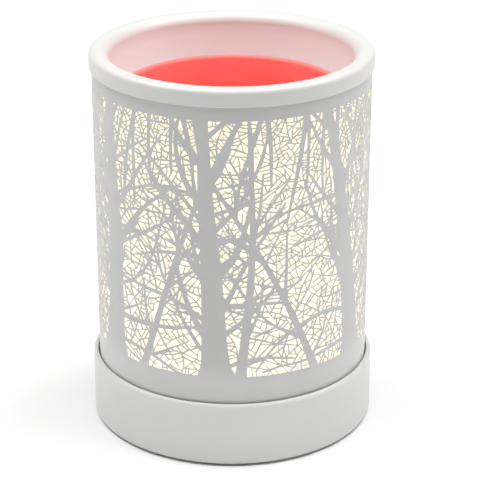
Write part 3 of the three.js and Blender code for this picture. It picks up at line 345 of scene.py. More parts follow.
@dataclass(frozen=True)
class MouldedPlastic(Finish):
    """Satin moulded plastic with a spark-eroded grain and scuffs low down."""

    pale: Colour
    dull: Colour
    scuff: Colour
    roughness: float = 0.34
    grain_depth: float = 0.006 * MM
    scuff_top_mm: float = 3.2
    scuff_full_mm: float = 0.8

    def recipe(self, shader: Shader, place: Signal) -> Sockets:
        """Mixes a fine grain, slow drifts of tone and a scuffed foot.

        Args:
            shader: The finish's shader.
            place: The place on the piece, in millimetres.

        Returns:
            A value or a signal for each socket.
        """
        height = shader.axes(place)[2]
        drift = shader.noise(place, 0.05)
        grain = shader.noise(place, 3.2, detail=1.0)
        streaks = shader.noise(shader.millimetres((0.25, 0.25, 3.0)), 0.8)
        low = shader.between(height, self.scuff_top_mm, self.scuff_full_mm)
        worn = low * shader.between(streaks, 0.5, 0.68)
        tone = shader.blend(drift, self.dull, self.pale)
        return {
            "Base Color": shader.blend(worn * 0.6, tone, self.scuff),
            "Roughness": grain * 0.14 + worn * 0.2 + (self.roughness - 0.07),
            "Normal": shader.bump(grain, self.grain_depth),
        }


@dataclass(frozen=True)
class DishGlaze(Finish):
    """White glaze with a gloss coat, painted lighter and cooler inside the bowl, which tempers the red light
    that the wax reflects onto it.
    """

    pale: Colour
    dull: Colour
    painted_bowl_light: Colour
    mouth_mm: float
    rim_top_mm: float
    painted_bowl_light_depth_mm: float = 9.0
    painted_bowl_light_outer_mm: float = 1.6
    painted_bowl_light_inner_mm: float = 1.2
    ripple_depth: float = 0.02 * MM

    def recipe(self, shader: Shader, place: Signal) -> Sockets:
        """Mixes pooled tones, a faint ripple and the painted light inside the bowl.

        Args:
            shader: The finish's shader.
            place: The place on the piece, in millimetres.

        Returns:
            A value or a signal for each socket.
        """
        height = shader.axes(place)[2]
        # Painted light: inside the bowl, and more below the rim, the glaze turns lighter and cooler, which
        # tempers the red light reflected off the wax.
        inside = shader.between(shader.off_axis(place), self.mouth_mm + self.painted_bowl_light_outer_mm,
                                self.mouth_mm - self.painted_bowl_light_inner_mm)
        below_rim = shader.between(height, self.rim_top_mm, self.rim_top_mm - self.painted_bowl_light_depth_mm)
        pool = shader.noise(place, 0.07)
        ripple = shader.noise(place, 0.5)
        tone = shader.blend(pool, self.dull, self.pale)
        return {
            "Base Color": shader.blend(inside * (below_rim * 0.4 + 0.6), tone, self.painted_bowl_light),
            "Roughness": 0.37 - pool * 0.07,
            "Specular IOR Level": 0.3,
            "Coat Weight": 0.12,
            "Coat Roughness": 0.12,
            "Normal": shader.bump(ripple, self.ripple_depth, 0.5),
        }


@dataclass(frozen=True)
class MoltenWax(Finish):
    """Clear red wax, melted, that thins to a paler film where it meets the bowl."""

    deep: Colour
    bright: Colour
    film: Colour
    edge_mm: float
    film_mm: float = 4.5
    swirl_depth: float = 0.15 * MM

    def recipe(self, shader: Shader, place: Signal) -> Sockets:
        """Mixes depths of red, slow swirls and the film at the edge.

        Args:
            shader: The finish's shader.
            place: The place on the piece, in millimetres.

        Returns:
            A value or a signal for each socket.
        """
        swirl = shader.noise(place, 0.045, detail=3.0)
        film = shader.between(shader.off_axis(place), self.edge_mm - self.film_mm, self.edge_mm)
        tone = shader.blend(swirl, self.deep, self.bright)
        return {
            "Base Color": shader.blend(film * film * 0.75, tone, self.film),
            "Roughness": swirl * 0.08 + 0.06,
            "Specular IOR Level": 0.12,
            "Subsurface Weight": 0.25,
            "Subsurface Radius": (1.0, 0.2, 0.15),
            "Subsurface Scale": 2.0 * MM,
            "Normal": shader.bump(swirl, self.swirl_depth, 0.4),
        }


@dataclass(frozen=True)
class GlowingSheet(Finish):
    """Fibre sheet that the bulb behind it lights: it glows outward, warmer toward the top."""

    paper: Colour
    fibre: Colour
    low_glow: Colour
    high_glow: Colour
    fibre_glow: Colour
    inner_glow: Colour
    middle_mm: float
    low_mm: float
    high_mm: float
    strength: float
    middle_skin_mm: float = 0.05
    fibre_depth: float = 0.02 * MM

    def recipe(self, shader: Shader, place: Signal) -> Sockets:
        """Mixes the glow over the height with fibres and a slow flicker of tone.

        Args:
            shader: The finish's shader.
            place: The place on the piece, in millimetres.

        Returns:
            A value or a signal for each socket.
        """
        height = shader.axes(place)[2]
        rise = shader.between(height, self.low_mm, self.high_mm)
        fibres = shader.noise(shader.millimetres((1.0, 1.0, 0.35)), 2.2, detail=4.0)
        cloud = shader.noise(place, 0.06)
        glow = shader.blend(rise * rise * 0.8 + cloud * 0.2, self.low_glow, self.high_glow)
        dimmed = shader.blend(fibres * 0.16, glow, self.fibre_glow)
        outside = shader.between(shader.off_axis(place), self.middle_mm - self.middle_skin_mm,
                                 self.middle_mm + self.middle_skin_mm)
        return {
            "Base Color": shader.blend(fibres, self.paper, self.fibre),
            "Roughness": fibres * 0.2 + 0.6,
            "Emission Color": shader.blend(outside, self.inner_glow, dimmed),
            "Emission Strength": self.strength,
            "Normal": shader.bump(fibres, self.fibre_depth),
        }


class MetalKind(Enum):
    """Metals of the fittings: face colour, dull colour, roughness and how far the grain is drawn out."""

    STEEL = ((0.62, 0.63, 0.64), (0.44, 0.45, 0.46), 0.34, 8.0)
    BRASS = ((0.74, 0.55, 0.24), (0.52, 0.37, 0.15), 0.3, 5.0)
    MIRROR = ((0.88, 0.89, 0.9), (0.8, 0.81, 0.84), 0.08, 1.0)


@dataclass(frozen=True)
class BareMetal(Finish):
    """Uncoated metal with drawn grain and dull patches."""

    kind: MetalKind
    grain_depth: float = 0.004 * MM

    def recipe(self, shader: Shader, place: Signal) -> Sockets:
        """Mixes drawn grain with slow dull patches.

        Args:
            shader: The finish's shader.
            place: The place on the piece, in millimetres.

        Returns:
            A value or a signal for each socket.
        """
        face, dull, roughness, drawn = self.kind.value
        grain = shader.noise(shader.millimetres((drawn, drawn, 1.0)), 0.7, detail=3.0)
        patch = shader.noise(place, 0.18)
        return {
            "Base Color": shader.blend(patch * 0.6 + grain * 0.4, dull, face),
            "Metallic": 1.0,
            "Roughness": grain * 0.16 + patch * 0.12 + (roughness - 0.1),
            "Normal": shader.bump(grain, self.grain_depth),
        }


@dataclass(frozen=True)
class GrittyFinish(Finish):
    """Matt stuff with a grit of its own, such as rubber, unglazed ceramic or wire insulation."""

    pale: Colour
    dull: Colour
    roughness: float
    grit_per_mm: float
    grit_depth: float

    def recipe(self, shader: Shader, place: Signal) -> Sockets:
        """Mixes the grit with slow drifts of tone.

        Args:
            shader: The finish's shader.
            place: The place on the piece, in millimetres.

        Returns:
            A value or a signal for each socket.
        """
        grit = shader.noise(place, self.grit_per_mm, detail=3.0)
        drift = shader.noise(place, 0.15)
        return {
            "Base Color": shader.blend(drift * 0.6 + grit * 0.4, self.dull, self.pale),
            "Roughness": grit * 0.16 + (self.roughness - 0.08),
            "Normal": shader.bump(grit, self.grit_depth),
        }


@dataclass(frozen=True)
class StudioPaper(Finish):
    """White paper floor that keeps its pale tone far away, as if the whole studio were lit."""

    pale: Colour
    dull: Colour
    near_mm: float = 450.0
    far_mm: float = 1800.0
    far_glow: float = 0.6

    def recipe(self, shader: Shader, place: Signal) -> Sockets:
        """Mixes faint fibres and the tone of the distance.

        Args:
            shader: The finish's shader.
            place: The place on the piece, in millimetres.

        Returns:
            A value or a signal for each socket.
        """
        fibres = shader.noise(place, 0.05)
        distance = shader.between(shader.off_axis(place), self.near_mm, self.far_mm)
        return {
            "Base Color": shader.blend(fibres, self.dull, self.pale),
            "Roughness": 0.9,
            "Emission Color": shader.blend(distance, BLACK, WHITE),
            "Emission Strength": self.far_glow,
        }


@dataclass(frozen=True)
class BulbGlass(Finish):
    """Pressed glass, clear or lit from inside."""

    tint: Colour
    glow: Colour
    glow_strength: float
    thin_tint: Colour = (0.97, 0.97, 0.95)
    thin_glow: Colour = (1.0, 0.97, 0.9)
    ripple_depth: float = 0.05 * MM

    def recipe(self, shader: Shader, place: Signal) -> Sockets:
        """Mixes a faintly uneven clear body with its glow.

        Args:
            shader: The finish's shader.
            place: The place on the piece, in millimetres.

        Returns:
            A value or a signal for each socket.
        """
        ripple = shader.noise(place, 0.35)
        return {
            "Base Color": shader.blend(ripple, self.tint, self.thin_tint),
            "Roughness": ripple * 0.1 + 0.04,
            "Transmission Weight": 0.85,
            "IOR": 1.5,
            "Emission Color": shader.blend(ripple, self.glow, self.thin_glow),
            "Emission Strength": self.glow_strength,
            "Normal": shader.bump(ripple, self.ripple_depth, 0.5),
        }


SHEET_WHITE = PowderCoat("white powder coat", "white_sheet", (0.565, 0.567, 0.562), (0.53, 0.532, 0.527))
BASE_WHITE = MouldedPlastic("white moulded base", "base_plastic", (0.725, 0.726, 0.718),
                            (0.69, 0.691, 0.683), (0.5, 0.5, 0.49))
STEEL = BareMetal("bare steel", "bare_steel", MetalKind.STEEL)
BRASS = BareMetal("terminal brass", "brass", MetalKind.BRASS)
MIRROR = BareMetal("mirror coat", "mirror_coat", MetalKind.MIRROR)
CERAMIC = GrittyFinish("unglazed ceramic", "holder_ceramic", (0.82, 0.79, 0.72), (0.7, 0.67, 0.6), 0.62, 2.5,
                       0.03 * MM)
RUBBER = GrittyFinish("foot rubber", "foot_rubber", (0.075, 0.075, 0.078), (0.04, 0.04, 0.042), 0.82, 3.0,
                      0.04 * MM)
BLOCK_PLASTIC = GrittyFinish("terminal block plastic", "block_plastic", (0.76, 0.73, 0.65),
                             (0.66, 0.63, 0.55), 0.55, 1.8, 0.02 * MM)
BROWN_LEAD = GrittyFinish("brown insulation", "lead_brown", (0.16, 0.07, 0.03), (0.1, 0.045, 0.02), 0.5, 1.2,
                          0.01 * MM)
BLUE_LEAD = GrittyFinish("blue insulation", "lead_blue", (0.04, 0.14, 0.42), (0.025, 0.09, 0.3), 0.5, 1.2,
                         0.01 * MM)
GREEN_LEAD = GrittyFinish("green insulation", "lead_green", (0.52, 0.5, 0.06), (0.05, 0.26, 0.05), 0.5, 0.4,
                          0.01 * MM)
CLEAR_GLASS = BulbGlass("clear bulb glass", "clear_glass", (0.93, 0.95, 0.93), (1.0, 0.9, 0.7), 0.04)
LIT_GLASS = BulbGlass("lit bulb glass", "lit_glass", (1.0, 0.95, 0.85), (1.0, 0.82, 0.55), 0.9)


class Carving(Enum):
    """How a tool mesh changes a piece."""

    CUT = "DIFFERENCE"
    JOIN = "UNION"


@dataclass
class Solid:
    """A closed mesh in the making."""

    vertices: np.ndarray
    faces: list[tuple[int, ...]]

    @classmethod
    def turned(cls, profile: Sequence[Point], segments: int = TURN_STEPS) -> "Solid":
        """Turns a closed outline about Z.

        Args:
            profile: Points as radius and height; those on the axis become poles.
            segments: Steps round the turn.

        Returns:
            The turned solid, facing outward.
        """
        outline = np.array(profile)
        following = np.roll(outline, -1, axis=0)
        if np.sum(outline[:, 0] * following[:, 1] - following[:, 0] * outline[:, 1]) < 0:
            outline = outline[::-1]
        angles = np.arange(segments) * (2 * math.pi / segments)
        rings: list[list[int]] = []
        vertices: list[np.ndarray] = []
        for radius, height in outline:
            count = 1 if radius < 1e-9 else segments
            start = sum(len(ring) for ring in rings)
            rings.append([start + i % count for i in range(segments)] if count > 1 else [start])
            spin = angles[:count]
            vertices.append(np.column_stack([radius * np.cos(spin), radius * np.sin(spin),
                                             np.full(count, height)]))
        faces: list[tuple[int, ...]] = []
        for lower, upper in zip(rings, rings[1:] + rings[:1]):
            for i in range(segments):
                j = (i + 1) % segments
                if len(lower) > 1 and len(upper) > 1:
                    faces.append((lower[i], lower[j], upper[j], upper[i]))
                elif len(lower) > 1:
                    faces.append((lower[i], lower[j], upper[0]))
                elif len(upper) > 1:
                    faces.append((lower[0], upper[j], upper[i]))
        return cls(np.vstack(vertices), faces)

    @classmethod
    def lofted(cls, rings: Sequence[tuple[Sequence[Point], float]]) -> "Solid":
        """Skins a stack of outlines and closes both ends.

        Args:
            rings: Outlines with the same number of points, counter-clockwise, each with its height.

        Returns:
            The skinned solid.
        """
        count = len(rings[0][0])
        vertices = np.array([(x, y, height) for outline, height in rings for x, y in outline])
        faces: list[tuple[int, ...]] = [tuple(range(count))[::-1]]
        for level in range(len(rings) - 1):
            low, high = level * count, (level + 1) * count
            for i in range(count):
                j = (i + 1) % count
                faces.append((low + i, low + j, high + j, high + i))
        top = (len(rings) - 1) * count
        faces.append(tuple(range(top, top + count)))
        return cls(vertices, faces)

    def placed(self, matrix: Matrix) -> "Solid":
        """Gives a copy moved by a matrix."""
        turn = np.array(matrix.to_3x3())
        return Solid(self.vertices @ turn.T + np.array(matrix.translation), list(self.faces))

    def __add__(self, other: "Solid") -> "Solid":
        """Puts two separate solids into one mesh.

        Args:
            other: The solid that is added.

        Returns:
            Both in one.
        """
        shift = len(self.vertices)
        moved = [tuple(i + shift for i in face) for face in other.faces]
        return Solid(np.vstack([self.vertices, other.vertices]), self.faces + moved)

    def piece(self, name: str) -> bpy.types.Object:
        """Makes a Blender object of the mesh.

        Args:
            name: The object's name.

        Returns:
            The object, in the scene.
        """
        mesh = bpy.data.meshes.new(name)
        mesh.from_pydata(self.vertices.tolist(), [], self.faces)
        mesh.update()
        made = bpy.data.objects.new(name, mesh)
        bpy.context.scene.collection.objects.link(made)
        return made


def gathered(solids: Iterable[Solid]) -> Solid:
    """Puts a row of separate solids into one mesh."""
    first, *rest = solids
    return sum(rest, start=first)


def arc(centre: Point, radius: float, start: float, end: float, steps: int = 8) -> list[Point]:
    """Gives points along a round corner.

    Args:
        centre: The middle of the round.
        radius: Its radius.
        start: Its first angle, in degrees.
        end: Its last angle, in degrees.
        steps: How many stretches it has.

    Returns:
        The points, ends included.
    """
    angles = np.radians(np.linspace(start, end, steps + 1))
    return [(centre[0] + radius * math.cos(a), centre[1] + radius * math.sin(a)) for a in angles]


def soft_rectangle(half_width: float, half_height: float, round_: float, steps: int = 5) -> list[Point]:
    """Gives a counter-clockwise rectangle with round corners.

    Args:
        half_width: Half of its width.
        half_height: Half of its height.
        round_: The radius of its corners.
        steps: Stretches in each corner.

    Returns:
        The outline's points.
    """
    x, y = half_width - round_, half_height - round_
    corners = (((x, -y), -90), ((x, y), 0), ((-x, y), 90), ((-x, -y), 180))
    return [point for centre, turn in corners for point in arc(centre, round_, turn, turn + 90, steps)]


def at_azimuth(azimuth: float, circle: float, height: float = 0.0) -> Matrix:
    """Gives the place on a circle round the lamp's axis, turned to face outward."""
    return Matrix.Rotation(math.radians(azimuth), 4, "Z") @ Matrix.Translation((circle, 0.0, height))


def outward(azimuth: float, height: float) -> Matrix:
    """Lays what points up along the way out from the lamp's axis, at a height."""
    return at_azimuth(azimuth, 0.0, height) @ Matrix.Rotation(math.radians(90), 4, "Y")


def carve(piece: bpy.types.Object, tool: Solid, carving: Carving) -> None:
    """Cuts a tool out of a piece, or joins it on.

    Args:
        piece: The piece that changes.
        tool: A closed mesh, of one body or of several that stay clear of each other.
        carving: Whether the tool is cut out or joined on.
    """
    helper = tool.piece("carving_tool")
    change = piece.modifiers.new("carving", "BOOLEAN")
    change.object = helper
    change.operation = carving.value
    change.solver = "EXACT"
    seen = piece.evaluated_get(bpy.context.evaluated_depsgraph_get())
    mesh = bpy.data.meshes.new_from_object(seen)
    piece.modifiers.clear()
    rough = piece.data
    piece.data = mesh
    mesh.name = rough.name
    bpy.data.meshes.remove(rough)
    spare = helper.data
    bpy.data.objects.remove(helper)
    bpy.data.meshes.remove(spare)


def ease_edges(piece: bpy.types.Object, width: float, steps: int = 3) -> None:
    """Rounds the sharp edges of a piece.

    Args:
        piece: The piece.
        width: How wide the rounding is.
        steps: How many stretches it has.
    """
    bevel = piece.modifiers.new("eased edges", "BEVEL")
    bevel.width = width
    bevel.segments = steps
    bevel.limit_method = "ANGLE"
    bevel.angle_limit = math.radians(EASED_EDGE_DEGREES)


def settle(piece: bpy.types.Object, finish: Finish, body: str, replaced: Sequence[str] = ()) -> None:
    """Gives a new piece its finish, the body that it moves with and the nodes that it stands for.

    Args:
        piece: The finished mesh.
        finish: Its finish.
        body: The body that carries it.
        replaced: Nodes that it stands for.
    """
    piece.data.materials.clear()
    piece.data.materials.append(finish.material())
    piece.data.shade_smooth()
    piece.data.set_sharp_from_angle(angle=math.radians(CREASE_DEGREES))
    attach(piece, body)
    if replaced:
        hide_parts(*replaced)
    LOG.info("%s: %d faces, rides on %s", piece.name, len(piece.data.polygons), body)


def dress(names: Iterable[str], finish: Finish) -> None:
    """Gives nodes that keep their own shape a finish.

    Args:
        names: The nodes.
        finish: Their finish.
    """
    for name in names:
        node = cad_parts[name]
        if not node.material_slots:
            node.data.materials.append(None)
        for place in node.material_slots:
            place.material = finish.material()
        LOG.info("%s: dressed in %s", name, finish.name)


def numbered(name: str, count: int) -> list[str]:
    """Gives the names of pieces that are numbered from 1."""
    return [f"{name}_{i + 1}" for i in range(count)]


@dataclass(frozen=True)
class SlottedScrew:
    """A pan-head screw with a driver slot, its head on z = 0 and its shank below."""

    length: float
    radius: float = 1.3 * MM
    head_radius: float = 2.8 * MM
    head: float = 1.1 * MM
    slot: float = 0.7 * MM
    slot_round: float = 0.1 * MM
    pitch: float = 0.5 * MM

    def solid(self) -> Solid:
        """Turns the screw, with a domed head and a ridged shank.

        Returns:
            The screw without its slot.
        """
        crown = [(self.head_radius * math.cos(a), self.head * (0.35 + 0.65 * math.sin(a)))
                 for a in np.radians(np.linspace(0, 84, 7))]
        ridges = int((self.length - self.radius) / self.pitch)
        shank: list[Point] = [(0.0, -self.length), (self.radius * 0.55, -self.length)]
        for i in range(ridges):
            foot = -self.length + self.radius + i * self.pitch
            shank += [(self.radius * 0.82, foot), (self.radius, foot + self.pitch / 2)]
        return Solid.turned([*shank, (self.radius, 0.0), (self.head_radius, 0.0), *crown, (0.0, self.head)],
                            SMALL_TURN_STEPS)

    def piece(self, name: str, place: Matrix) -> bpy.types.Object:
        """Makes the screw where it is driven, with its slot cut.

        Args:
            name: The screw's name.
            place: Where its head's seat lies, and which way it points.

        Returns:
            The screw.
        """
        made = self.solid().piece(name)
        slot = soft_rectangle(self.head_radius * 1.2, self.slot / 2, self.slot_round, 1)
        carve(made, Solid.lofted([(slot, self.head * 0.4), (slot, self.head * 1.5)]), Carving.CUT)
        made.data.transform(place)
        return made


class NumberStream:
    """A repeatable stream of numbers, the same one that the part's own trees grow by."""

    PRIME = 2147483647
    FACTOR = 48271
    FIRST = 7919

    def __init__(self, seed: int) -> None:
        """Starts the stream at a seed."""
        self.state = seed * self.FIRST % self.PRIME

    def share(self) -> float:
        """Draws a number between 0 and 1."""
        self.state = self.state * self.FACTOR % self.PRIME
        return self.state / self.PRIME

    def pick(self, span: Point) -> float:
        """Draws a number between a least and a most."""
        return span[0] + (span[1] - span[0]) * self.share()

    def stray(self, reach: float) -> float:
        """Draws a number that lies more often near 0 than out at its reach."""
        return reach * (self.share() + self.share() + self.share() - 1.5) / 1.5


class Knot(NamedTuple):
    """A point on a stem's spine: its place on the unrolled sheet, its width, and its lean in degrees."""

    across: float
    up: float
    width: float
    lean: float


Stem = list[Knot]


@dataclass(frozen=True)
class Trunk:
    """Where a tree stands on the sheet, in degrees from the front, and how it grows."""

    foot: float
    lean: float
    girth: float
    seed: int


@dataclass(frozen=True)
class Habit:
    """How stems of one order leave the stem that bears them; pairs are least and most."""

    first: float
    gap: Point
    opening: Point
    reach: Point
    share: float
    width: Point
    tip: float
    turn: Point
    wobble: float
    stretch: float
    last: float


@dataclass(frozen=True)
class PoleHabit:
    """How thin upright stems stand along the band above; pairs are least and most."""

    seed: int = 907
    gap: Point = (6 * MM, 10 * MM)
    foot: Point = (102 * MM, 130 * MM)
    lean: Point = (-8, 8)
    width: float = 0.8 * MM
    tip: Point = (1.2 * MM, 2.4 * MM)
    wobble: float = 0.5


TREES = (
    Trunk(-58, 0.5, 13.5 * MM, 11), Trunk(-6.5, -0.5, 11.5 * MM, 29), Trunk(60, -6, 12.5 * MM, 47),
    Trunk(112, 3, 11 * MM, 61), Trunk(155, -3, 11.5 * MM, 83), Trunk(-108, -2, 11.5 * MM, 101),
    Trunk(-152, 3, 11 * MM, 127),
)
SAPLINGS = (
    Trunk(-40, 18, 3 * MM, 149), Trunk(3, 9, 4 * MM, 163), Trunk(37, -21, 3.2 * MM, 181),
    Trunk(84, 10, 3.2 * MM, 199), Trunk(132, -12, 3.2 * MM, 211), Trunk(-84, 12, 3.2 * MM, 227),
    Trunk(-130, -12, 3.2 * MM, 239),
)
TREE_LIMBS = Habit(14 * MM, (7 * MM, 12 * MM), (30, 58), (40 * MM, 70 * MM), 0.45, (2 * MM, 4.4 * MM),
                   0.8 * MM, (0.2, 0.9), 0.7, 20 * MM, 0.9)
TREE_BOUGHS = Habit(4 * MM, (4.5 * MM, 8.5 * MM), (40, 80), (32 * MM, 62 * MM), 0.27, (1.4 * MM, 3 * MM),
                    0.6 * MM, (-1.4, 1.2), 1.3, 8 * MM, 0.75)
SAPLING_LIMBS = Habit(18 * MM, (16 * MM, 26 * MM), (26, 48), (24 * MM, 40 * MM), 0.6, (1 * MM, 1.8 * MM),
                      0.6 * MM, (0.2, 0.9), 0.7, 20 * MM, 0.9)
SAPLING_BOUGHS = Habit(8 * MM, (9 * MM, 16 * MM), (36, 70), (16 * MM, 36 * MM), 0.4, (0.6 * MM, 1.4 * MM),
                       0.35 * MM, (-0.8, 1.0), 1.3, 8 * MM, 0.8)
BRANCHES = Habit(4 * MM, (4.5 * MM, 9 * MM), (36, 78), (8 * MM, 24 * MM), 0.45, (0.5 * MM, 1 * MM),
                 0.3 * MM, (-0.6, 1.8), 2.2, 5 * MM, 0.95)
POLES = PoleHabit()

# Corners of a square in the order low left, low right, high right, high left, as bits 1, 2, 4 and 8.
# Sides are 0 below, 1 right, 2 above and 3 left; each pair is where the outline enters and leaves.
OUTLINE_STEPS = {
    1: ((0, 3),), 2: ((1, 0),), 3: ((1, 3),), 4: ((2, 1),), 5: ((0, 3), (2, 1)), 6: ((2, 0),), 7: ((2, 3),),
    8: ((3, 2),), 9: ((0, 2),), 10: ((1, 0), (3, 2)), 11: ((1, 2),), 12: ((3, 1),), 13: ((0, 1),),
    14: ((3, 0),),
}


@dataclass
class Forest:
    """Bare winter trees on the unrolled sheet.

    The sheet is a field of points, and its value is above zero where metal stays. Stems are drawn into the
    field, and fine twigs then divide each window that is still too wide.
    """

    radius: float
    foot: float
    top: float
    seam_half: float
    pitch: float = 0.13 * MM
    rise: float = 118 * MM
    overrun: float = 3 * MM
    trunk_wobble: float = 0.15
    tree_tip: float = 3.5 * MM
    sapling_tip: float = 1 * MM
    root_flare: float = 0.35
    flare_height: float = 4 * MM
    reach_loss: float = 0.4
    twig_width: Point = (0.28 * MM, 0.42 * MM)
    twig_step: float = 0.5 * MM
    twig_bend: float = 9
    twig_steps: int = 40
    low_room: float = 0.75 * MM
    high_room: float = 0.48 * MM
    rounds: tuple[tuple[float, int], ...] = ((2.6, 1), (1.6, 4), (1.0, 7), (1.0, 7))
    tries: int = 50000
    soft_limit: float = 0.3 * MM
    soft_rounds: int = 2
    edge_level: float = -0.05 * MM
    least_window: float = 0.1 * MM * MM
    outline_stray: float = 0.06 * MM
    half: float = field(init=False)
    columns: int = field(init=False)
    rows: int = field(init=False)
    across: np.ndarray = field(init=False)
    up: np.ndarray = field(init=False)
    values: np.ndarray = field(init=False)
    depth: np.ndarray = field(init=False)

    def __post_init__(self) -> None:
        """Lays out the empty field, with solid metal along the seam."""
        self.half = math.pi * self.radius
        self.columns = int(round(2 * self.half / self.pitch)) + 1
        self.rows = int(round((self.top - self.foot) / self.pitch)) + 1
        self.across = -self.half + self.pitch * np.arange(self.columns)
        self.up = self.foot + self.pitch * np.arange(self.rows)
        self.values = np.full((self.rows, self.columns), -1.0, dtype=np.float32)
        self.values[:, np.abs(self.across) > self.half - self.seam_half] = MM

    def draw(self, stem: Stem) -> None:
        """Draws a stem into the field, one tapered stretch at a time.

        Args:
            stem: The stem.
        """
        for start, end in zip(stem, stem[1:]):
            run, rise = end.across - start.across, end.up - start.up
            if math.hypot(run, rise) < 1e-9:
                continue
            margin = max(start.width, end.width) / 2 + 2 * self.pitch
            columns = self.span(start.across, end.across, -self.half, margin, self.columns)
            rows = self.span(start.up, end.up, self.foot, margin, self.rows)
            across = self.across[None, columns] - start.across
            up = self.up[rows, None] - start.up
            share = np.clip((across * run + up * rise) / (run * run + rise * rise), 0, 1)
            depth = (start.width + (end.width - start.width) * share) / 2
            depth -= np.hypot(across - share * run, up - share * rise)
            patch = self.values[rows, columns]
            np.maximum(patch, depth, out=patch)

    def span(self, first: float, second: float, origin: float, margin: float, count: int) -> slice:
        """Gives the rows or columns between two places, widened by a margin.

        Args:
            first: One place.
            second: The other place.
            origin: Where the row or column 0 lies.
            margin: How far the span reaches past both.
            count: How many rows or columns there are.

        Returns:
            The span, kept inside the field.
        """
        low = int((min(first, second) - margin - origin) / self.pitch)
        high = int((max(first, second) + margin - origin) / self.pitch) + 2
        return slice(min(max(low, 0), count), min(max(high, 0), count))

    def stem(self, draw: NumberStream, start: Knot, length: float, tip: float, turn: float, wobble: float,
             stretch: float) -> Stem:
        """Grows one stem.

        Args:
            draw: The stream of numbers that it grows by.
            start: Its foot, with its width and lean there.
            length: Its length.
            tip: Its width at the tip.
            turn: How it bends, in degrees for each millimetre.
            wobble: How much its bend strays.
            stretch: The longest stretch between two knots.

        Returns:
            The stem.
        """
        steps = max(2, math.ceil(length / stretch - 1e-9))
        step = length / steps
        knots = [start]
        stray = 0.0
        for i in range(1, steps + 1):
            last = knots[-1]
            stray = stray / 2 + wobble * (2 * draw.share() - 1)
            lean = last.lean + (turn + stray) * step / MM
            knots.append(Knot(
                last.across + step * math.sin(math.radians(lean)),
                last.up + step * math.cos(math.radians(lean)),
                start.width + (tip - start.width) * i / steps,
                lean,
            ))
        return knots

    def along(self, stem: Stem, share: float) -> Knot:
        """Gives the knot part of the way along a stem.

        Args:
            stem: The stem.
            share: How much of it lies below the knot, from 0 to 1.

        Returns:
            The knot there.
        """
        place = share * (len(stem) - 1)
        index = min(int(place), len(stem) - 2)
        return Knot(*(a + (b - a) * (place - index) for a, b in zip(stem[index], stem[index + 1])))

    def side_stems(self, draw: NumberStream, bearer: Stem, length: float, habit: Habit) -> list[Stem]:
        """Grows stems to either hand in turn of one that bears them.

        Args:
            draw: The stream of numbers that they grow by.
            bearer: The stem that bears them.
            length: The bearer's length.
            habit: How they grow.

        Returns:
            The side stems.
        """
        hand = 1 if draw.share() < 0.5 else -1
        place = habit.first
        stems = []
        while place < length * habit.last:
            share = place / length
            knot = self.along(bearer, share)
            lean = knot.lean + hand * draw.pick(habit.opening)
            reach = draw.pick(habit.reach) * (1 - self.reach_loss * share)
            width = min(knot.width * habit.share, draw.pick(habit.width))
            turn = -hand * draw.pick(habit.turn)
            foot = knot._replace(width=width, lean=lean)
            stems.append(self.stem(draw, foot, reach, habit.tip, turn, habit.wobble, habit.stretch))
            hand = -hand
            place += draw.pick(habit.gap)
        return stems

    def rounded(self, stem: Stem, parts: int = 5) -> Stem:
        """Draws a smooth curve through a stem's knots.

        Args:
            stem: The stem with its few knots.
            parts: How many stretches each of its own becomes.

        Returns:
            The stem with many knots.
        """
        knots = np.array([stem[0], *stem, stem[-1]])
        shares = (np.arange(parts) / parts)[:, None]
        spans = [
            b + shares * ((c - a) / 2 + shares * (a - 2.5 * b + 2 * c - d / 2
                                                  + shares * (1.5 * (b - c) + (d - a) / 2)))
            for a, b, c, d in zip(knots, knots[1:], knots[2:], knots[3:])
        ]
        return [Knot(*map(float, row)) for row in np.vstack([*spans, knots[-1:]])]

    def plant(self, trunk: Trunk, tip: float, limbs: Habit, boughs: Habit) -> None:
        """Grows a whole tree and draws it.

        Args:
            trunk: Where it stands.
            tip: The trunk's width at its top.
            limbs: How its limbs grow from the trunk.
            boughs: How lighter boughs grow between them.
        """
        draw = NumberStream(trunk.seed)
        root = Knot(math.radians(trunk.foot) * self.radius, self.foot - self.overrun, trunk.girth, trunk.lean)
        bole = self.stem(draw, root, self.rise, tip, 0.0, self.trunk_wobble, limbs.stretch)
        side_stems = []
        for habit in (limbs, boughs):
            side_stems += self.side_stems(draw, bole, self.rise, habit)
        smooth = self.rounded(bole)
        flare = [1 + self.root_flare * math.exp(-max(knot.up - self.foot, 0) / self.flare_height)
                 for knot in smooth]
        self.draw([knot._replace(width=knot.width * swell) for knot, swell in zip(smooth, flare)])
        for side in side_stems:
            bent = self.rounded(side)
            self.draw(bent)
            length = sum(math.hypot(b.across - a.across, b.up - a.up) for a, b in zip(bent, bent[1:]))
            for branch in self.side_stems(draw, bent, length, BRANCHES):
                self.draw(self.rounded(branch, 3))

    def plant_poles(self, draw: NumberStream) -> None:
        """Draws thin upright stems that run into the band above.

        Args:
            draw: The stream of numbers that they grow by.
        """
        place = -self.half + self.seam_half
        while place < self.half - self.seam_half:
            foot = draw.pick(POLES.foot)
            start = Knot(place, foot, POLES.width, draw.pick(POLES.lean))
            tip = draw.pick(POLES.tip)
            length = self.top + self.overrun - foot
            pole = self.stem(draw, start, length, tip, 0.0, POLES.wobble, TREE_LIMBS.stretch)
            self.draw(self.rounded(pole))
            place += draw.pick(POLES.gap)

    def is_metal(self, across: float, up: float) -> bool:
        """Says whether a place on the sheet is metal; what lies past the field is.

        Args:
            across: The place along the arc.
            up: The place's height.

        Returns:
            True where metal stays.
        """
        column = int(round((across + self.half) / self.pitch))
        row = int(round((up - self.foot) / self.pitch))
        inside = 0 <= column < self.columns and 0 <= row < self.rows
        return not inside or self.values[row, column] > 0

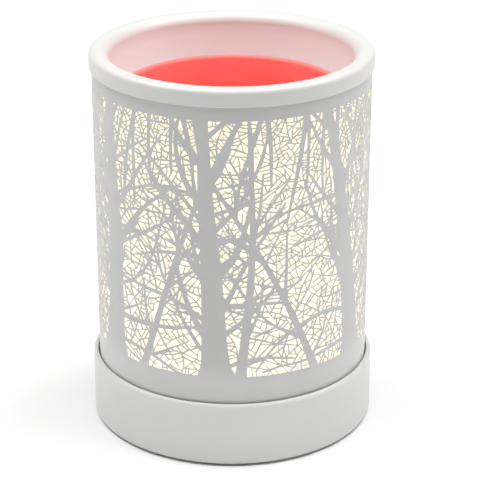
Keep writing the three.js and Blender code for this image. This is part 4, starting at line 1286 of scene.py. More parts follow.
    def is_open(self, across: float, up: float, room: float) -> bool:
        """Says whether a square about a place is free of metal.

        Args:
            across: The place along the arc.
            up: The place's height.
            room: Half of the square's side.

        Returns:
            True where the whole square is open and inside the field.
        """
        if up - room < self.foot or up + room > self.top:
            return False
        columns = self.span(across, across, -self.half, room, self.columns)
        rows = self.span(up, up, self.foot, room, self.rows)
        return self.values[rows, columns].max() < 0

    def twig(self, draw: NumberStream, across: float, up: float) -> Stem:
        """Grows a twig both ways from a place until it meets metal.

        Args:
            draw: The stream of numbers that it grows by.
            across: The place along the arc.
            up: The place's height.

        Returns:
            The twig.
        """
        lean, bend = draw.pick((-90, 90)), draw.stray(self.twig_bend)
        width = draw.pick(self.twig_width)
        arms = []
        for way in (1, -1):
            arm = [Knot(across, up, width, lean)]
            while len(arm) < self.twig_steps:
                last = arm[-1]
                if len(arm) > 1 and self.is_metal(last.across, last.up):
                    break
                heading = last.lean + way * bend * self.twig_step / MM
                arm.append(Knot(last.across + way * self.twig_step * math.sin(math.radians(heading)),
                                last.up + way * self.twig_step * math.cos(math.radians(heading)),
                                width, heading))
            arms.append(arm)
        return arms[1][:0:-1] + arms[0]

    def divide_windows(self, draw: NumberStream) -> None:
        """Draws twigs across every window that is wider than its height on the sheet allows.

        The first ones sweep where they like, and later ones take the shortest of a few ways across, so that
        the windows between them come out round.

        Args:
            draw: The stream of numbers that the twigs grow by.
        """
        for scale, ways in self.rounds:
            for _ in range(self.tries):
                across = draw.pick((-self.half, self.half))
                up = draw.pick((self.foot, self.top))
                if self.is_metal(across, up):
                    continue
                rise = (up - self.foot) / (self.top - self.foot)
                room = (self.low_room + (self.high_room - self.low_room) * rise) * scale
                if self.is_open(across, up, room):
                    self.draw(min((self.twig(draw, across, up) for _ in range(ways)), key=len))

    def grow(self) -> None:
        """Grows the trees, the poles and the twigs, and rounds the corners between them."""
        for trunk in TREES:
            self.plant(trunk, self.tree_tip, TREE_LIMBS, TREE_BOUGHS)
        for trunk in SAPLINGS:
            self.plant(trunk, self.sapling_tip, SAPLING_LIMBS, SAPLING_BOUGHS)
        draw = NumberStream(POLES.seed)
        self.plant_poles(draw)
        self.divide_windows(draw)
        self.soften()

    def soften(self) -> None:
        """Rounds the corners between stems, and keeps the field as it was for its depths."""
        self.depth = self.values
        soft = np.clip(self.values, -self.soft_limit, self.soft_limit)
        for _ in range(self.soft_rounds):
            soft[1:-1] = (soft[:-2] + 2 * soft[1:-1] + soft[2:]) / 4
            soft[:, 1:-1] = (soft[:, :-2] + 2 * soft[:, 1:-1] + soft[:, 2:]) / 4
        soft[[0, -1]] = self.soft_limit
        self.values = soft - self.edge_level

    def windows(self) -> list[np.ndarray]:
        """Traces the outline of every window.

        Returns:
            One array of points for each window, in order round it.
        """
        metal = self.values > 0
        code = metal[:-1, :-1] + 2 * metal[:-1, 1:] + 4 * metal[1:, 1:] + 8 * metal[1:, :-1]
        upright = self.rows * self.columns
        starts, ends = [], []
        for bits, steps in OUTLINE_STEPS.items():
            row, column = np.nonzero(code == bits)
            cell = row * self.columns + column
            sides = (cell, upright + cell + 1, cell + self.columns, upright + cell)
            for enter, leave in steps:
                starts.append(sides[enter])
                ends.append(sides[leave])
        start = np.concatenate(starts)
        order = np.argsort(start)
        start = start[order]
        following = np.searchsorted(start, np.concatenate(ends)[order]).tolist()
        points = self.crossings(start)
        seen = bytearray(len(following))
        outlines = []
        for first in range(len(following)):
            chain = []
            while not seen[first]:
                seen[first] = 1
                chain.append(first)
                first = following[first]
            if chain and enclosed(points[chain]) < -self.least_window:
                whole = points[chain[::-1]]
                simple = simplified(whole, self.outline_stray)
                outlines.append(whole if crosses_itself(simple) else simple)
        return outlines

    def crossings(self, sides: np.ndarray) -> np.ndarray:
        """Finds where the outline crosses sides of the field's squares.

        Args:
            sides: Numbers of sides, level ones first and upright ones after them.

        Returns:
            The crossing points.
        """
        flat = self.values.ravel()
        is_upright = sides >= flat.size
        near = sides - flat.size * is_upright
        far = near + np.where(is_upright, self.columns, 1)
        share = flat[near] / (flat[near] - flat[far])
        across = self.across[near % self.columns] + np.where(is_upright, 0, share) * self.pitch
        up = self.up[near // self.columns] + np.where(is_upright, share, 0) * self.pitch
        return np.column_stack([across, up])


def enclosed(points: np.ndarray) -> float:
    """Gives the area inside an outline, above zero where it runs counter-clockwise."""
    following = np.roll(points, -1, axis=0)
    return float(np.sum(points[:, 0] * following[:, 1] - following[:, 0] * points[:, 1]) / 2)


def crosses_itself(points: np.ndarray) -> bool:
    """Says whether two sides of a closed outline cross.

    Args:
        points: The outline's points.

    Returns:
        True where at least one pair of sides does.
    """
    run = np.roll(points, -1, axis=0) - points
    gap = points[None] - points[:, None]
    hand = run[:, None, 0] * gap[..., 1] - run[:, None, 1] * gap[..., 0]
    parted = hand * np.roll(hand, -1, axis=1) < 0
    return bool(np.any(parted & parted.T))


def simplified(points: np.ndarray, tolerance: float) -> np.ndarray:
    """Drops points of a closed outline that lie close to the line between their neighbours.

    Args:
        points: The outline's points.
        tolerance: How far the outline may stray.

    Returns:
        The points that are kept.
    """
    count = len(points)
    ring = np.vstack([points, points[:1]])
    far = int(np.argmax(np.hypot(*(points - points[0]).T)))
    keep = {0, far}
    spans = [(0, far), (far, count)]
    while spans:
        low, high = spans.pop()
        if high - low < 2:
            continue
        run = ring[high] - ring[low]
        between = ring[low + 1:high] - ring[low]
        length = math.hypot(*run) or 1.0
        stray = np.abs(between[:, 0] * run[1] - between[:, 1] * run[0]) / length
        worst = int(np.argmax(stray))
        if stray[worst] > tolerance:
            split = low + 1 + worst
            keep.add(split)
            spans += [(low, split), (split, high)]
    return points[sorted(keep)]


@dataclass
class PiercedShade:
    """Pierced sheet round the lamp, its seam strip, the lit liner behind it, and the ring in its mouth."""

    radius: float
    foot: float
    top: float
    liner_radius: float
    liner_thick: float = 0.55 * MM
    thick: float = 0.5 * MM
    band_below: float = 19.4 * MM
    band_above: float = 4.7 * MM
    slit: float = 0.6 * MM
    seam_band: float = 10 * MM
    grid: float = 3 * MM
    wide_metal: float = 0.6 * MM
    strip_gap: float = 0.1 * MM
    strip_ease: float = 0.15 * MM
    ring_width: float = 3.25 * MM
    ring_gap: float = 0.3 * MM
    ring_round: float = 0.3 * MM
    skirt_thick: float = 0.6 * MM
    glow_foot_mm: float = 90.0
    rivet_azimuths: tuple[float, ...] = (30, 150, 270)
    rivet_height: float = 23.5 * MM
    rivet_hole: float = 1.3 * MM

    @classmethod
    def from_frame(cls) -> "PiercedShade":
        """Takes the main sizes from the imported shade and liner.

        Returns:
            The shade, not yet built.
        """
        low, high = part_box("shade")
        _, liner_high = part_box("diffuser_liner")
        return cls(high.x, low.z, high.z, liner_high.x)

    @property
    def liner_inner(self) -> float:
        """The liner's inner radius."""
        return self.liner_radius - self.liner_thick

    def build(self) -> None:
        """Builds the sheet, the strip, the liner and the ring, and dresses the rivets."""
        coat = PiercedCoat(name="pierced white coat", slot=SHEET_WHITE.slot, pale=SHEET_WHITE.pale,
                           dull=SHEET_WHITE.dull, face_mm=self.radius / MM)
        settle(self.sheet(), coat, "base", ["shade"])
        self.build_strip()
        self.build_liner()
        self.build_ring()
        dress(numbered("shade_rivet", 3), SHEET_WHITE)

    def sheet(self) -> bpy.types.Object:
        """Pierces the flat sheet, triangulates it and bends it round the lamp.

        Returns:
            The pierced sheet.
        """
        forest = Forest(self.radius, self.foot + self.band_below, self.top - self.band_above,
                        self.seam_band / 2)
        forest.grow()
        openings = forest.windows()
        openings += [np.array(arc((across, self.rivet_height), self.rivet_hole, 0, 345, 23))
                     for across in self.rivets_across()]
        edge = math.pi * self.radius - self.slit / 2
        border = self.border(edge)
        inner = self.inner_points(forest, edge)
        points = [Vector(point) for point in np.vstack([border, inner, *openings])]
        first = len(border) + len(inner)
        faces = []
        for opening in openings:
            faces.append(list(range(first, first + len(opening))))
            first += len(opening)
        rim = [(i, (i + 1) % len(border)) for i in range(len(border))]
        flat, _, triangles, _, _, owners = delaunay_2d_cdt(points, rim, faces, 0, 1e-9, True)
        metal = [triangle for triangle, owner in zip(triangles, owners) if not owner]
        LOG.info("shade: %d windows, %d outline points", len(openings), len(flat))
        return self.wrapped(np.array([tuple(point) for point in flat]), metal)

    def rivets_across(self) -> list[float]:
        """Gives the rivets' places along the arc of the unrolled sheet."""
        return [math.remainder(azimuth + 90, 360) * math.pi / 180 * self.radius
                for azimuth in self.rivet_azimuths]

    def border(self, edge: float) -> np.ndarray:
        """Gives the sheet's outline, with points close enough together to follow the bend.

        Args:
            edge: How far the sheet reaches along the arc to either side.

        Returns:
            The outline's points, counter-clockwise.
        """
        along = np.linspace(-edge, edge, int(2 * edge / self.grid))
        upward = np.linspace(self.foot, self.top, 24)[1:-1]
        return np.vstack([
            np.column_stack([along, np.full_like(along, self.foot)]),
            np.column_stack([np.full_like(upward, edge), upward]),
            np.column_stack([along[::-1], np.full_like(along, self.top)]),
            np.column_stack([np.full_like(upward, -edge), upward[::-1]]),
        ])

    def inner_points(self, forest: Forest, edge: float) -> np.ndarray:
        """Gives points inside the wide metal, so that no triangle is too wide for the bend.

        Args:
            forest: The grown pattern.
            edge: How far the sheet reaches along the arc to either side.

        Returns:
            The points.
        """
        across, up = np.meshgrid(np.arange(-edge + self.grid, edge, self.grid),
                                 np.arange(self.foot + 0.5 * self.grid, self.top, self.grid))
        column = np.clip(np.rint((across + forest.half) / forest.pitch).astype(int), 0, forest.columns - 1)
        row = np.rint((up - forest.foot) / forest.pitch).astype(int)
        in_pattern = (row > -3) & (row < forest.rows + 3)
        depth = forest.depth[np.clip(row, 0, forest.rows - 1), column]
        wide = np.where(in_pattern, depth > self.wide_metal, True)
        for rivet in self.rivets_across():
            wide &= np.hypot(across - rivet, up - self.rivet_height) > 2 * self.rivet_hole
        return np.column_stack([across[wide], up[wide]])

    def wrapped(self, flat: np.ndarray, metal: list[list[int]]) -> bpy.types.Object:
        """Bends the flat sheet round the lamp, with an inner face and walls in every opening.

        Args:
            flat: The sheet's points along the arc and up.
            metal: Triangles of the sheet, counter-clockwise seen from outside.

        Returns:
            The closed sheet.
        """
        angle = flat[:, 0] / self.radius
        count = len(flat)
        shells = [np.column_stack([radius * np.sin(angle), -radius * np.cos(angle), flat[:, 1]])
                  for radius in (self.radius, self.radius - self.thick)]
        edges = {(a, b) for a, b, c in metal} | {(b, c) for a, b, c in metal} | {(c, a) for a, b, c in metal}
        walls = [(b, a, a + count, b + count) for a, b in sorted(edges) if (b, a) not in edges]
        inner = [(c + count, b + count, a + count) for a, b, c in metal]
        return Solid(np.vstack(shells), [*map(tuple, metal), *inner, *walls]).piece("pierced_sheet")

    def build_strip(self) -> None:
        """Builds the strip that covers the seam at the back, with eased edges."""
        low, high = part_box("seam_strip")
        half = math.degrees(high.x / high.y)
        outline = [*arc((0, 0), high.y, 90 - half, 90 + half, 12),
                   *arc((0, 0), self.radius + self.strip_gap, 90 + half, 90 - half, 12)]
        strip = Solid.lofted([(outline, low.z), (outline, high.z)]).piece("seam_cover")
        ease_edges(strip, self.strip_ease, 2)
        settle(strip, SHEET_WHITE, "base", ["seam_strip"])

    def build_liner(self) -> None:
        """Builds the lit tube behind the windows."""
        tube = Solid.turned([(self.liner_inner, self.foot), (self.liner_radius, self.foot),
                             (self.liner_radius, self.top), (self.liner_inner, self.top)]).piece("lit_liner")
        near, far = self.radius * 0.8, self.radius * 1.2
        drill = Solid.turned([(0, near), (self.rivet_hole, near), (self.rivet_hole, far), (0, far)], 24)
        carve(tube, gathered(drill.placed(outward(azimuth, self.rivet_height))
                             for azimuth in self.rivet_azimuths), Carving.CUT)
        glow = GlowingSheet(
            "lit fibre sheet", "diffuser", paper=(0.9, 0.88, 0.8), fibre=(0.86, 0.83, 0.74),
            low_glow=(1.0, 0.94, 0.8), high_glow=(1.0, 0.89, 0.61), fibre_glow=(0.75, 0.62, 0.38),
            inner_glow=(0.2, 0.17, 0.11), middle_mm=(self.liner_inner + self.liner_radius) / 2 / MM,
            low_mm=self.glow_foot_mm, high_mm=self.top / MM, strength=0.55,
        )
        settle(tube, glow, "base", ["diffuser_liner"])

    def build_ring(self) -> None:
        """Builds the ring in the shade's mouth that the dish rests on."""
        low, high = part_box("dish_ring")
        bore, skirt_outer = self.radius - self.ring_width, self.liner_inner - self.ring_gap
        skirt_inner = skirt_outer - self.skirt_thick
        edge = self.ring_round
        ring = Solid.turned([
            (bore, self.top), (skirt_inner, self.top), (skirt_inner, low.z), (skirt_outer, low.z),
            (skirt_outer, self.top), (high.x, self.top),
            *arc((high.x - edge, high.z - edge), edge, 0, 90, 3),
            *arc((bore + edge, high.z - edge), edge, 90, 180, 3),
        ]).piece("dish_seat_ring")
        settle(ring, SHEET_WHITE, "base", ["dish_ring"])


@dataclass
class BaseHousing:
    """Round base shell with its rounded lip, inner ledge, screw bosses and rear openings."""

    radius: float
    bottom: float
    top: float
    wall: float = 2 * MM
    lip_round: float = 1.8 * MM
    hem_round: float = 0.8 * MM
    inner_round: float = 0.5 * MM
    ledge_top: float = 19 * MM
    ledge_thick: float = 2 * MM
    ledge_reach: float = 14 * MM
    boss_circle: float = 50.5 * MM
    boss_radius: float = 3.6 * MM
    boss_foot: float = 3 * MM
    pilot_radius: float = 1.5 * MM
    pilots: tuple[Point, ...] = ((2 * MM, 12 * MM), (13.5 * MM, 20 * MM))
    boss_azimuths: tuple[float, ...] = (30, 150, 270)
    gland_height: float = 9.8 * MM
    gland_hole: float = 5.0 * MM
    switch_azimuth: float = 52
    switch_height: float = 11 * MM
    switch_hole: Point = (7.0 * MM, 4.7 * MM)
    switch_hole_round: float = 0.3 * MM

    @classmethod
    def from_frame(cls) -> "BaseHousing":
        """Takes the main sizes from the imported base."""
        low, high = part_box("base_housing")
        return cls(high.x, low.z, high.z)

    def profile(self) -> list[Point]:
        """Gives the shell's section, from the foot of its inner wall round the outside.

        Returns:
            Points as radius and height.
        """
        inside = self.radius - self.wall
        lip = (self.radius - self.lip_round, self.top - self.lip_round)
        ledge = inside - self.ledge_reach
        return [
            (inside, self.bottom),
            *arc((self.radius - self.hem_round, self.bottom + self.hem_round), self.hem_round, -90, 0, 6),
            *arc(lip, self.lip_round, 0, 84, 10),
            *arc((inside + self.inner_round, self.top - self.inner_round), self.inner_round, 90, 180, 4),
            (inside, self.ledge_top), (ledge, self.ledge_top), (ledge, self.ledge_top - self.ledge_thick),
            (inside, self.ledge_top - self.ledge_thick),
        ]

    def post(self, radius: float, bottom: float, top: float, azimuth: float) -> Solid:
        """Gives an upright round post on the circle of bosses."""
        outline = [(0, bottom), (radius, bottom), (radius, top), (0, top)]
        return Solid.turned(outline, 32).placed(at_azimuth(azimuth, self.boss_circle))

    def build(self) -> None:
        """Builds the shell and dresses it."""
        shell = Solid.turned(self.profile()).piece("base_shell")
        ledge_middle = self.ledge_top - self.ledge_thick / 2
        carve(shell, gathered(self.post(self.boss_radius, self.boss_foot, ledge_middle, azimuth)
                              for azimuth in self.boss_azimuths), Carving.JOIN)
        pilots = gathered(self.post(self.pilot_radius, low, high, azimuth)
                          for azimuth in self.boss_azimuths
                          for low, high in self.pilots)
        start, end = self.radius - 2 * self.wall, self.radius + self.wall
        gland = Solid.turned([(0, start), (self.gland_hole, start), (self.gland_hole, end), (0, end)],
                             SMALL_TURN_STEPS).placed(outward(90, self.gland_height))
        window = soft_rectangle(*self.switch_hole, self.switch_hole_round, 2)
        switch = Solid.lofted([(window, start), (window, end)])
        carve(shell, pilots + gland + switch.placed(switch_frame(self)), Carving.CUT)
        settle(shell, BASE_WHITE, "base", ["base_housing"])


def switch_frame(base: BaseHousing) -> Matrix:
    """Gives the switch's own axes: X along the wall, Y up and Z out of it."""
    axes = Matrix(((0, 0, 1, 0), (1, 0, 0, 0), (0, 1, 0, 0), (0, 0, 0, 1)))
    return at_azimuth(base.switch_azimuth, 0.0, base.switch_height) @ axes


@dataclass
class Underside:
    """Bottom cover with its vents and screws, and the feet that it stands on."""

    base: BaseHousing
    bottom: float = 1 * MM
    top: float = 3 * MM
    edge_gap: float = 0.3 * MM
    vent_count: int = 8
    vent_circle: float = 16 * MM
    vent_half: Point = (5.5 * MM, 1.5 * MM)
    vent_round: float = 1.47 * MM
    foot_radius: float = 5.2 * MM
    foot_circle: float = 44 * MM
    foot_top: float = 2 * MM
    foot_azimuths: tuple[float, ...] = (45, 135, 225, 315)
    foot_round: float = 0.5 * MM
    groove: float = 0.25 * MM
    groove_mouth: Point = (2.6 * MM, 3.6 * MM)
    groove_floor: Point = (2.8 * MM, 3.4 * MM)
    recess_gap: float = 0.3 * MM
    recess_sink: float = 1 * MM
    screw_length: float = 8 * MM
    screw_sink: float = 1.3 * MM
    screw_hole: float = 1.7 * MM
    head_hole: float = 3.1 * MM
    edge_ease: float = 0.35 * MM

    def build(self) -> None:
        """Builds the cover, its screws and its feet."""
        self.build_cover()
        for i, azimuth in enumerate(self.base.boss_azimuths):
            place = at_azimuth(azimuth, self.base.boss_circle, self.bottom + self.screw_sink)
            head_down = Matrix.Rotation(math.pi, 4, "X")
            screw = SlottedScrew(self.screw_length).piece(f"cover_bolt_{i + 1}", place @ head_down)
            settle(screw, STEEL, "base", [f"cover_screw_{i + 1}"])
        for i, azimuth in enumerate(self.foot_azimuths):
            foot = Solid.turned(self.foot_profile(), 64).placed(at_azimuth(azimuth, self.foot_circle))
            settle(foot.piece(f"soft_foot_{i + 1}"), RUBBER, "base", [f"rubber_foot_{i + 1}"])

    def foot_profile(self) -> list[Point]:
        """Gives a foot's section, with a rounded tread and a groove that grips.

        Returns:
            Points as radius and height.
        """
        return [
            (0, 0), (self.groove_mouth[0], 0), (self.groove_floor[0], self.groove),
            (self.groove_floor[1], self.groove), (self.groove_mouth[1], 0),
            *arc((self.foot_radius - self.foot_round, self.foot_round), self.foot_round, -90, 0, 5),
            (self.foot_radius, self.foot_top), (0, self.foot_top),
        ]

    def build_cover(self) -> None:
        """Builds the cover with vents, countersunk screw holes and recesses for the feet."""
        radius = self.base.radius - self.base.wall - self.edge_gap
        ease = self.edge_ease
        plate = Solid.turned([
            (0, self.bottom), *arc((radius - ease, self.bottom + ease), ease, -90, 0, 4), (radius, self.top),
            (0, self.top),
        ]).piece("base_cover")
        past = 1 * MM
        vent = soft_rectangle(*self.vent_half, self.vent_round, 6)
        slot = Solid.lofted([(vent, self.bottom - past), (vent, self.top + past)])
        vents = gathered(slot.placed(at_azimuth((i + 0.5) * 360 / self.vent_count, self.vent_circle))
                         for i in range(self.vent_count))
        holes = gathered(self.hole(self.screw_hole, self.top + past, self.head_hole, self.screw_sink,
                                   at_azimuth(azimuth, self.base.boss_circle))
                         for azimuth in self.base.boss_azimuths)
        mouth = self.foot_radius + self.recess_gap
        recesses = gathered(self.hole(self.foot_radius, self.foot_top, mouth, self.recess_sink,
                                      at_azimuth(azimuth, self.foot_circle))
                            for azimuth in self.foot_azimuths)
        carve(plate, vents + holes + recesses, Carving.CUT)
        settle(plate, BASE_WHITE, "base", ["bottom_cover"])

    def hole(self, radius: float, top: float, mouth: float, sink: float, place: Matrix) -> Solid:
        """Gives a stepped hole that opens downward.

        Args:
            radius: The radius of its narrow end.
            top: Where it ends.
            mouth: The radius of its sunk mouth.
            sink: How deep the mouth is sunk.
            place: Where it is.

        Returns:
            The hole as a tool mesh.
        """
        step = self.bottom + sink
        outline = [(0, 0), (mouth, 0), (mouth, step), (radius, step), (radius, top), (0, top)]
        return Solid.turned(outline, SMALL_TURN_STEPS).placed(place)


@dataclass
class WaxDish:
    """Lift-off dish with a rolled rim, and the melted wax in it."""

    rim_radius: float
    rim_top: float
    bottom: float
    seat: float
    wax_top: float
    hem_round: float = 0.6 * MM
    outer_round: float = 2.2 * MM
    inner_round: float = 4.5 * MM
    mouth: float = 50 * MM
    floor_radius: float = 44 * MM
    floor: float = 135.5 * MM
    fillet: float = 4 * MM
    foot_round: float = 6 * MM
    wall: float = 4 * MM
    neck: float = 53.6 * MM
    meniscus: float = 0.9 * MM
    meniscus_reach: float = 5 * MM
    meniscus_bend: float = 3.5
    wax_gap: float = 0.05 * MM
    wax_rings: tuple[float, ...] = (10 * MM, 20 * MM, 30 * MM, 36 * MM)
    turn_steps: int = 240

    @classmethod
    def from_frame(cls) -> "WaxDish":
        """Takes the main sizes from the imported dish, ring and wax."""
        low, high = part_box("dish")
        return cls(high.x, high.z, low.z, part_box("dish_ring")[1].z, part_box("wax_melt")[1].z)

    def wall_lean(self) -> float:
        """Gives the inner wall's lean from upright, in degrees."""
        rise = self.rim_top - self.inner_round - self.floor - self.fillet
        return math.degrees(math.atan2(self.mouth - self.floor_radius, rise))

    def wall_radius(self, height: float) -> float:
        """Gives the radius of the bowl's inner wall.

        Args:
            height: Where it is asked for.

        Returns:
            The radius there.
        """
        lean = math.radians(self.wall_lean())
        foot = (self.floor_radius - self.fillet + self.fillet * math.cos(lean),
                self.floor + self.fillet - self.fillet * math.sin(lean))
        share = (height - foot[1]) / (self.rim_top - self.inner_round - foot[1])
        return foot[0] + (self.mouth - foot[0]) * share

    def build(self) -> None:
        """Builds the dish and the wax."""
        foot = (self.floor_radius + self.wall - self.foot_round, self.bottom + self.foot_round)
        hem = (self.rim_radius - self.hem_round, self.seat + self.hem_round)
        outer = (self.rim_radius - self.outer_round, self.rim_top - self.outer_round)
        inner = (self.mouth + self.inner_round, self.rim_top - self.inner_round)
        corner = (self.floor_radius - self.fillet, self.floor + self.fillet)
        dish = Solid.turned([
            (0, self.bottom),
            *arc(foot, self.foot_round, -90, -20, 10),
            (self.neck, self.seat),
            *arc(hem, self.hem_round, -90, 0, 8),
            *arc(outer, self.outer_round, 0, 90, 12),
            *arc(inner, self.inner_round, 90, 180, 18),
            *arc(corner, self.fillet, -self.wall_lean(), -90, 8),
            (0, self.floor),
        ], self.turn_steps).piece("glazed_dish")
        # The third colour is the painted light inside the bowl.
        glaze = DishGlaze("white glaze", "dish_glaze", (0.675, 0.67, 0.645), (0.645, 0.64, 0.615),
                          (0.76, 0.825, 0.815), self.mouth / MM, self.rim_top / MM)
        settle(dish, glaze, "dish", ["dish"])
        self.build_wax(corner)

    def build_wax(self, corner: Point) -> None:
        """Builds the pool of wax, drawn up where it meets the bowl.

        Args:
            corner: The middle of the fillet at the bowl's floor.
        """
        edge = self.wall_radius(self.wax_top + self.meniscus) - self.wax_gap
        rise = [(edge - self.meniscus_reach * (1 - share),
                 self.wax_top + self.meniscus * share ** self.meniscus_bend)
                for share in np.linspace(0, 1, 12)]
        wax = Solid.turned([
            (0, self.wax_top), *((ring, self.wax_top) for ring in self.wax_rings), *rise,
            *arc(corner, self.fillet - self.wax_gap, -self.wall_lean(), -90, 8),
            (0, self.floor + self.wax_gap),
        ]).piece("melted_wax")
        red = MoltenWax("molten red wax", "red_wax", (0.8, 0.026, 0.017), (0.86, 0.038, 0.026),
                        (0.9, 0.4, 0.38), edge / MM)
        settle(wax, red, "dish", ["wax_melt"])


@dataclass
class LampFitting:
    """Lamp holder on its bracket and tray, and the reflector bulb in it."""

    cap_top: float = 72 * MM
    cap_foot: float = 9.8 * MM
    cap_radius: float = 13.5 * MM
    reflector_wall: float = 1.3 * MM
    facet_depth: float = 0.25 * MM
    facet_height: float = 3 * MM
    facets: int = 36
    capsule_radius: float = 4.6 * MM
    capsule_gap: float = 0.3 * MM
    crown: float = 1 * MM
    lens_ease: float = 0.5 * MM
    cap_ease: float = 0.6 * MM
    dimple_pitch: float = 2.4 * MM
    dimple_depth: float = 0.14 * MM
    tray_screw: float = 5.5 * MM
    bracket_screw: float = 6 * MM

    def build(self) -> None:
        """Builds the bulb and dresses what carries it."""
        dress(["base_tray"], SHEET_WHITE)
        dress(["lamp_bracket", *numbered("bracket_nut", 2), *numbered("holder_screw", 2)], STEEL)
        dress(["lamp_holder"], CERAMIC)
        dress(numbered("holder_contact", 2), BRASS)
        dress(numbered("bulb_pin", 2), STEEL)
        self.build_screws()
        self.build_cap()
        self.build_reflector()
        self.build_glass()

    def build_screws(self) -> None:
        """Builds the screws that show on the tray."""
        lengths = {name: self.tray_screw for name in numbered("tray_screw", 3)}
        lengths |= {name: self.bracket_screw for name in numbered("bracket_screw", 2)}
        for name, length in lengths.items():
            low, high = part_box(name)
            middle = (low + high) / 2
            head = SlottedScrew(length)
            place = Matrix.Translation((middle.x, middle.y, high.z - head.head))
            settle(head.piece(f"{name}_fine", place), STEEL, "base", [name])

    def build_cap(self) -> None:
        """Builds the bulb's ceramic cap."""
        low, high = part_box("bulb_cap")
        neck = (high.z - low.z) / 2
        ease = self.cap_ease
        cap = Solid.turned([
            (0, low.z), *arc((self.cap_foot - ease, low.z + ease), ease, -90, 0, 4),
            (self.cap_foot, low.z + neck), *arc((self.cap_radius - ease, high.z - neck / 2), ease, -20, 0, 2),
            (self.cap_radius, high.z), (0, high.z),
        ], 96).piece("bulb_ceramic_cap")
        settle(cap, CERAMIC, "bulb", ["bulb_cap"])

    def flare(self, inset: float, steps: int = 24) -> list[Point]:
        """Gives the reflector's bell, drawn in by an inset.

        Args:
            inset: How far the line lies inside the outer face.
            steps: Stretches along it.

        Returns:
            The line's points from the neck to the mouth.
        """
        low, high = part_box("bulb_reflector")
        shares = np.linspace(0, 1, steps + 1)
        return [(self.cap_radius + (high.x - self.cap_radius) * math.sin(share * math.pi / 2) - inset,
                 low.z + (high.z - low.z) * share) for share in shares]

    def build_reflector(self) -> None:
        """Builds the mirrored bell, faceted inside."""
        hole = self.capsule_radius + self.capsule_gap
        floor = self.cap_top + self.reflector_wall
        inside = self.flare(self.reflector_wall)[2:][::-1]
        bell = Solid.turned([
            (hole, self.cap_top), *self.flare(0.0), *inside, (self.cap_radius - self.reflector_wall, floor),
            (hole, floor),
        ], 144)
        x, y, z = bell.vertices.T
        radius = np.hypot(x, y)
        bands = np.sin((z - self.cap_top) / self.facet_height * math.pi)
        dent = self.facet_depth * np.abs(np.cos(np.arctan2(y, x) * self.facets / 2) * bands)
        outer = {round(height, 7): reach for reach, height in self.flare(0.0)}
        half_wall = self.reflector_wall / 2
        is_inside = np.array([height > floor and reach < outer.get(round(height, 7), 0) - half_wall
                              for reach, height in zip(radius, z)])
        shrink = np.where(is_inside, 1 - dent / radius, 1.0)
        bell.vertices[:, :2] *= shrink[:, None]
        settle(bell.piece("faceted_reflector"), MIRROR, "bulb", ["bulb_reflector"])

    def build_glass(self) -> None:
        """Builds the light capsule and the dimpled front glass."""
        low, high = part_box("bulb_capsule")
        dome = self.capsule_radius
        capsule = Solid.turned([
            (0, low.z), (self.capsule_radius, low.z),
            *arc((0, high.z - dome), dome, 0, 84, 12), (0, high.z),
        ], 64).piece("light_capsule")
        settle(capsule, LIT_GLASS, "bulb", ["bulb_capsule"])
        low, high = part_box("bulb_front_glass")
        radius, edge = high.x, high.z - self.crown
        ease = self.lens_ease
        swell = [(radius - ease) * share for share in np.linspace(1, 0, 26)[1:-1]]
        lens = Solid.turned([
            (0, low.z), (radius, low.z), *arc((radius - ease, edge - ease), ease, 0, 90, 5),
            *((r, edge + self.crown * (1 - (r / radius) ** 2)) for r in swell), (0, high.z),
        ], 96)
        x, y, z = lens.vertices.T
        pitch = self.dimple_pitch / math.pi
        dimple = np.cos(x / pitch) * np.cos(y / pitch) * self.dimple_depth
        lens.vertices[:, 2] -= np.where(z > edge, np.abs(dimple), 0.0)
        settle(lens.piece("dimpled_front_glass"), CLEAR_GLASS, "bulb", ["bulb_front_glass"])


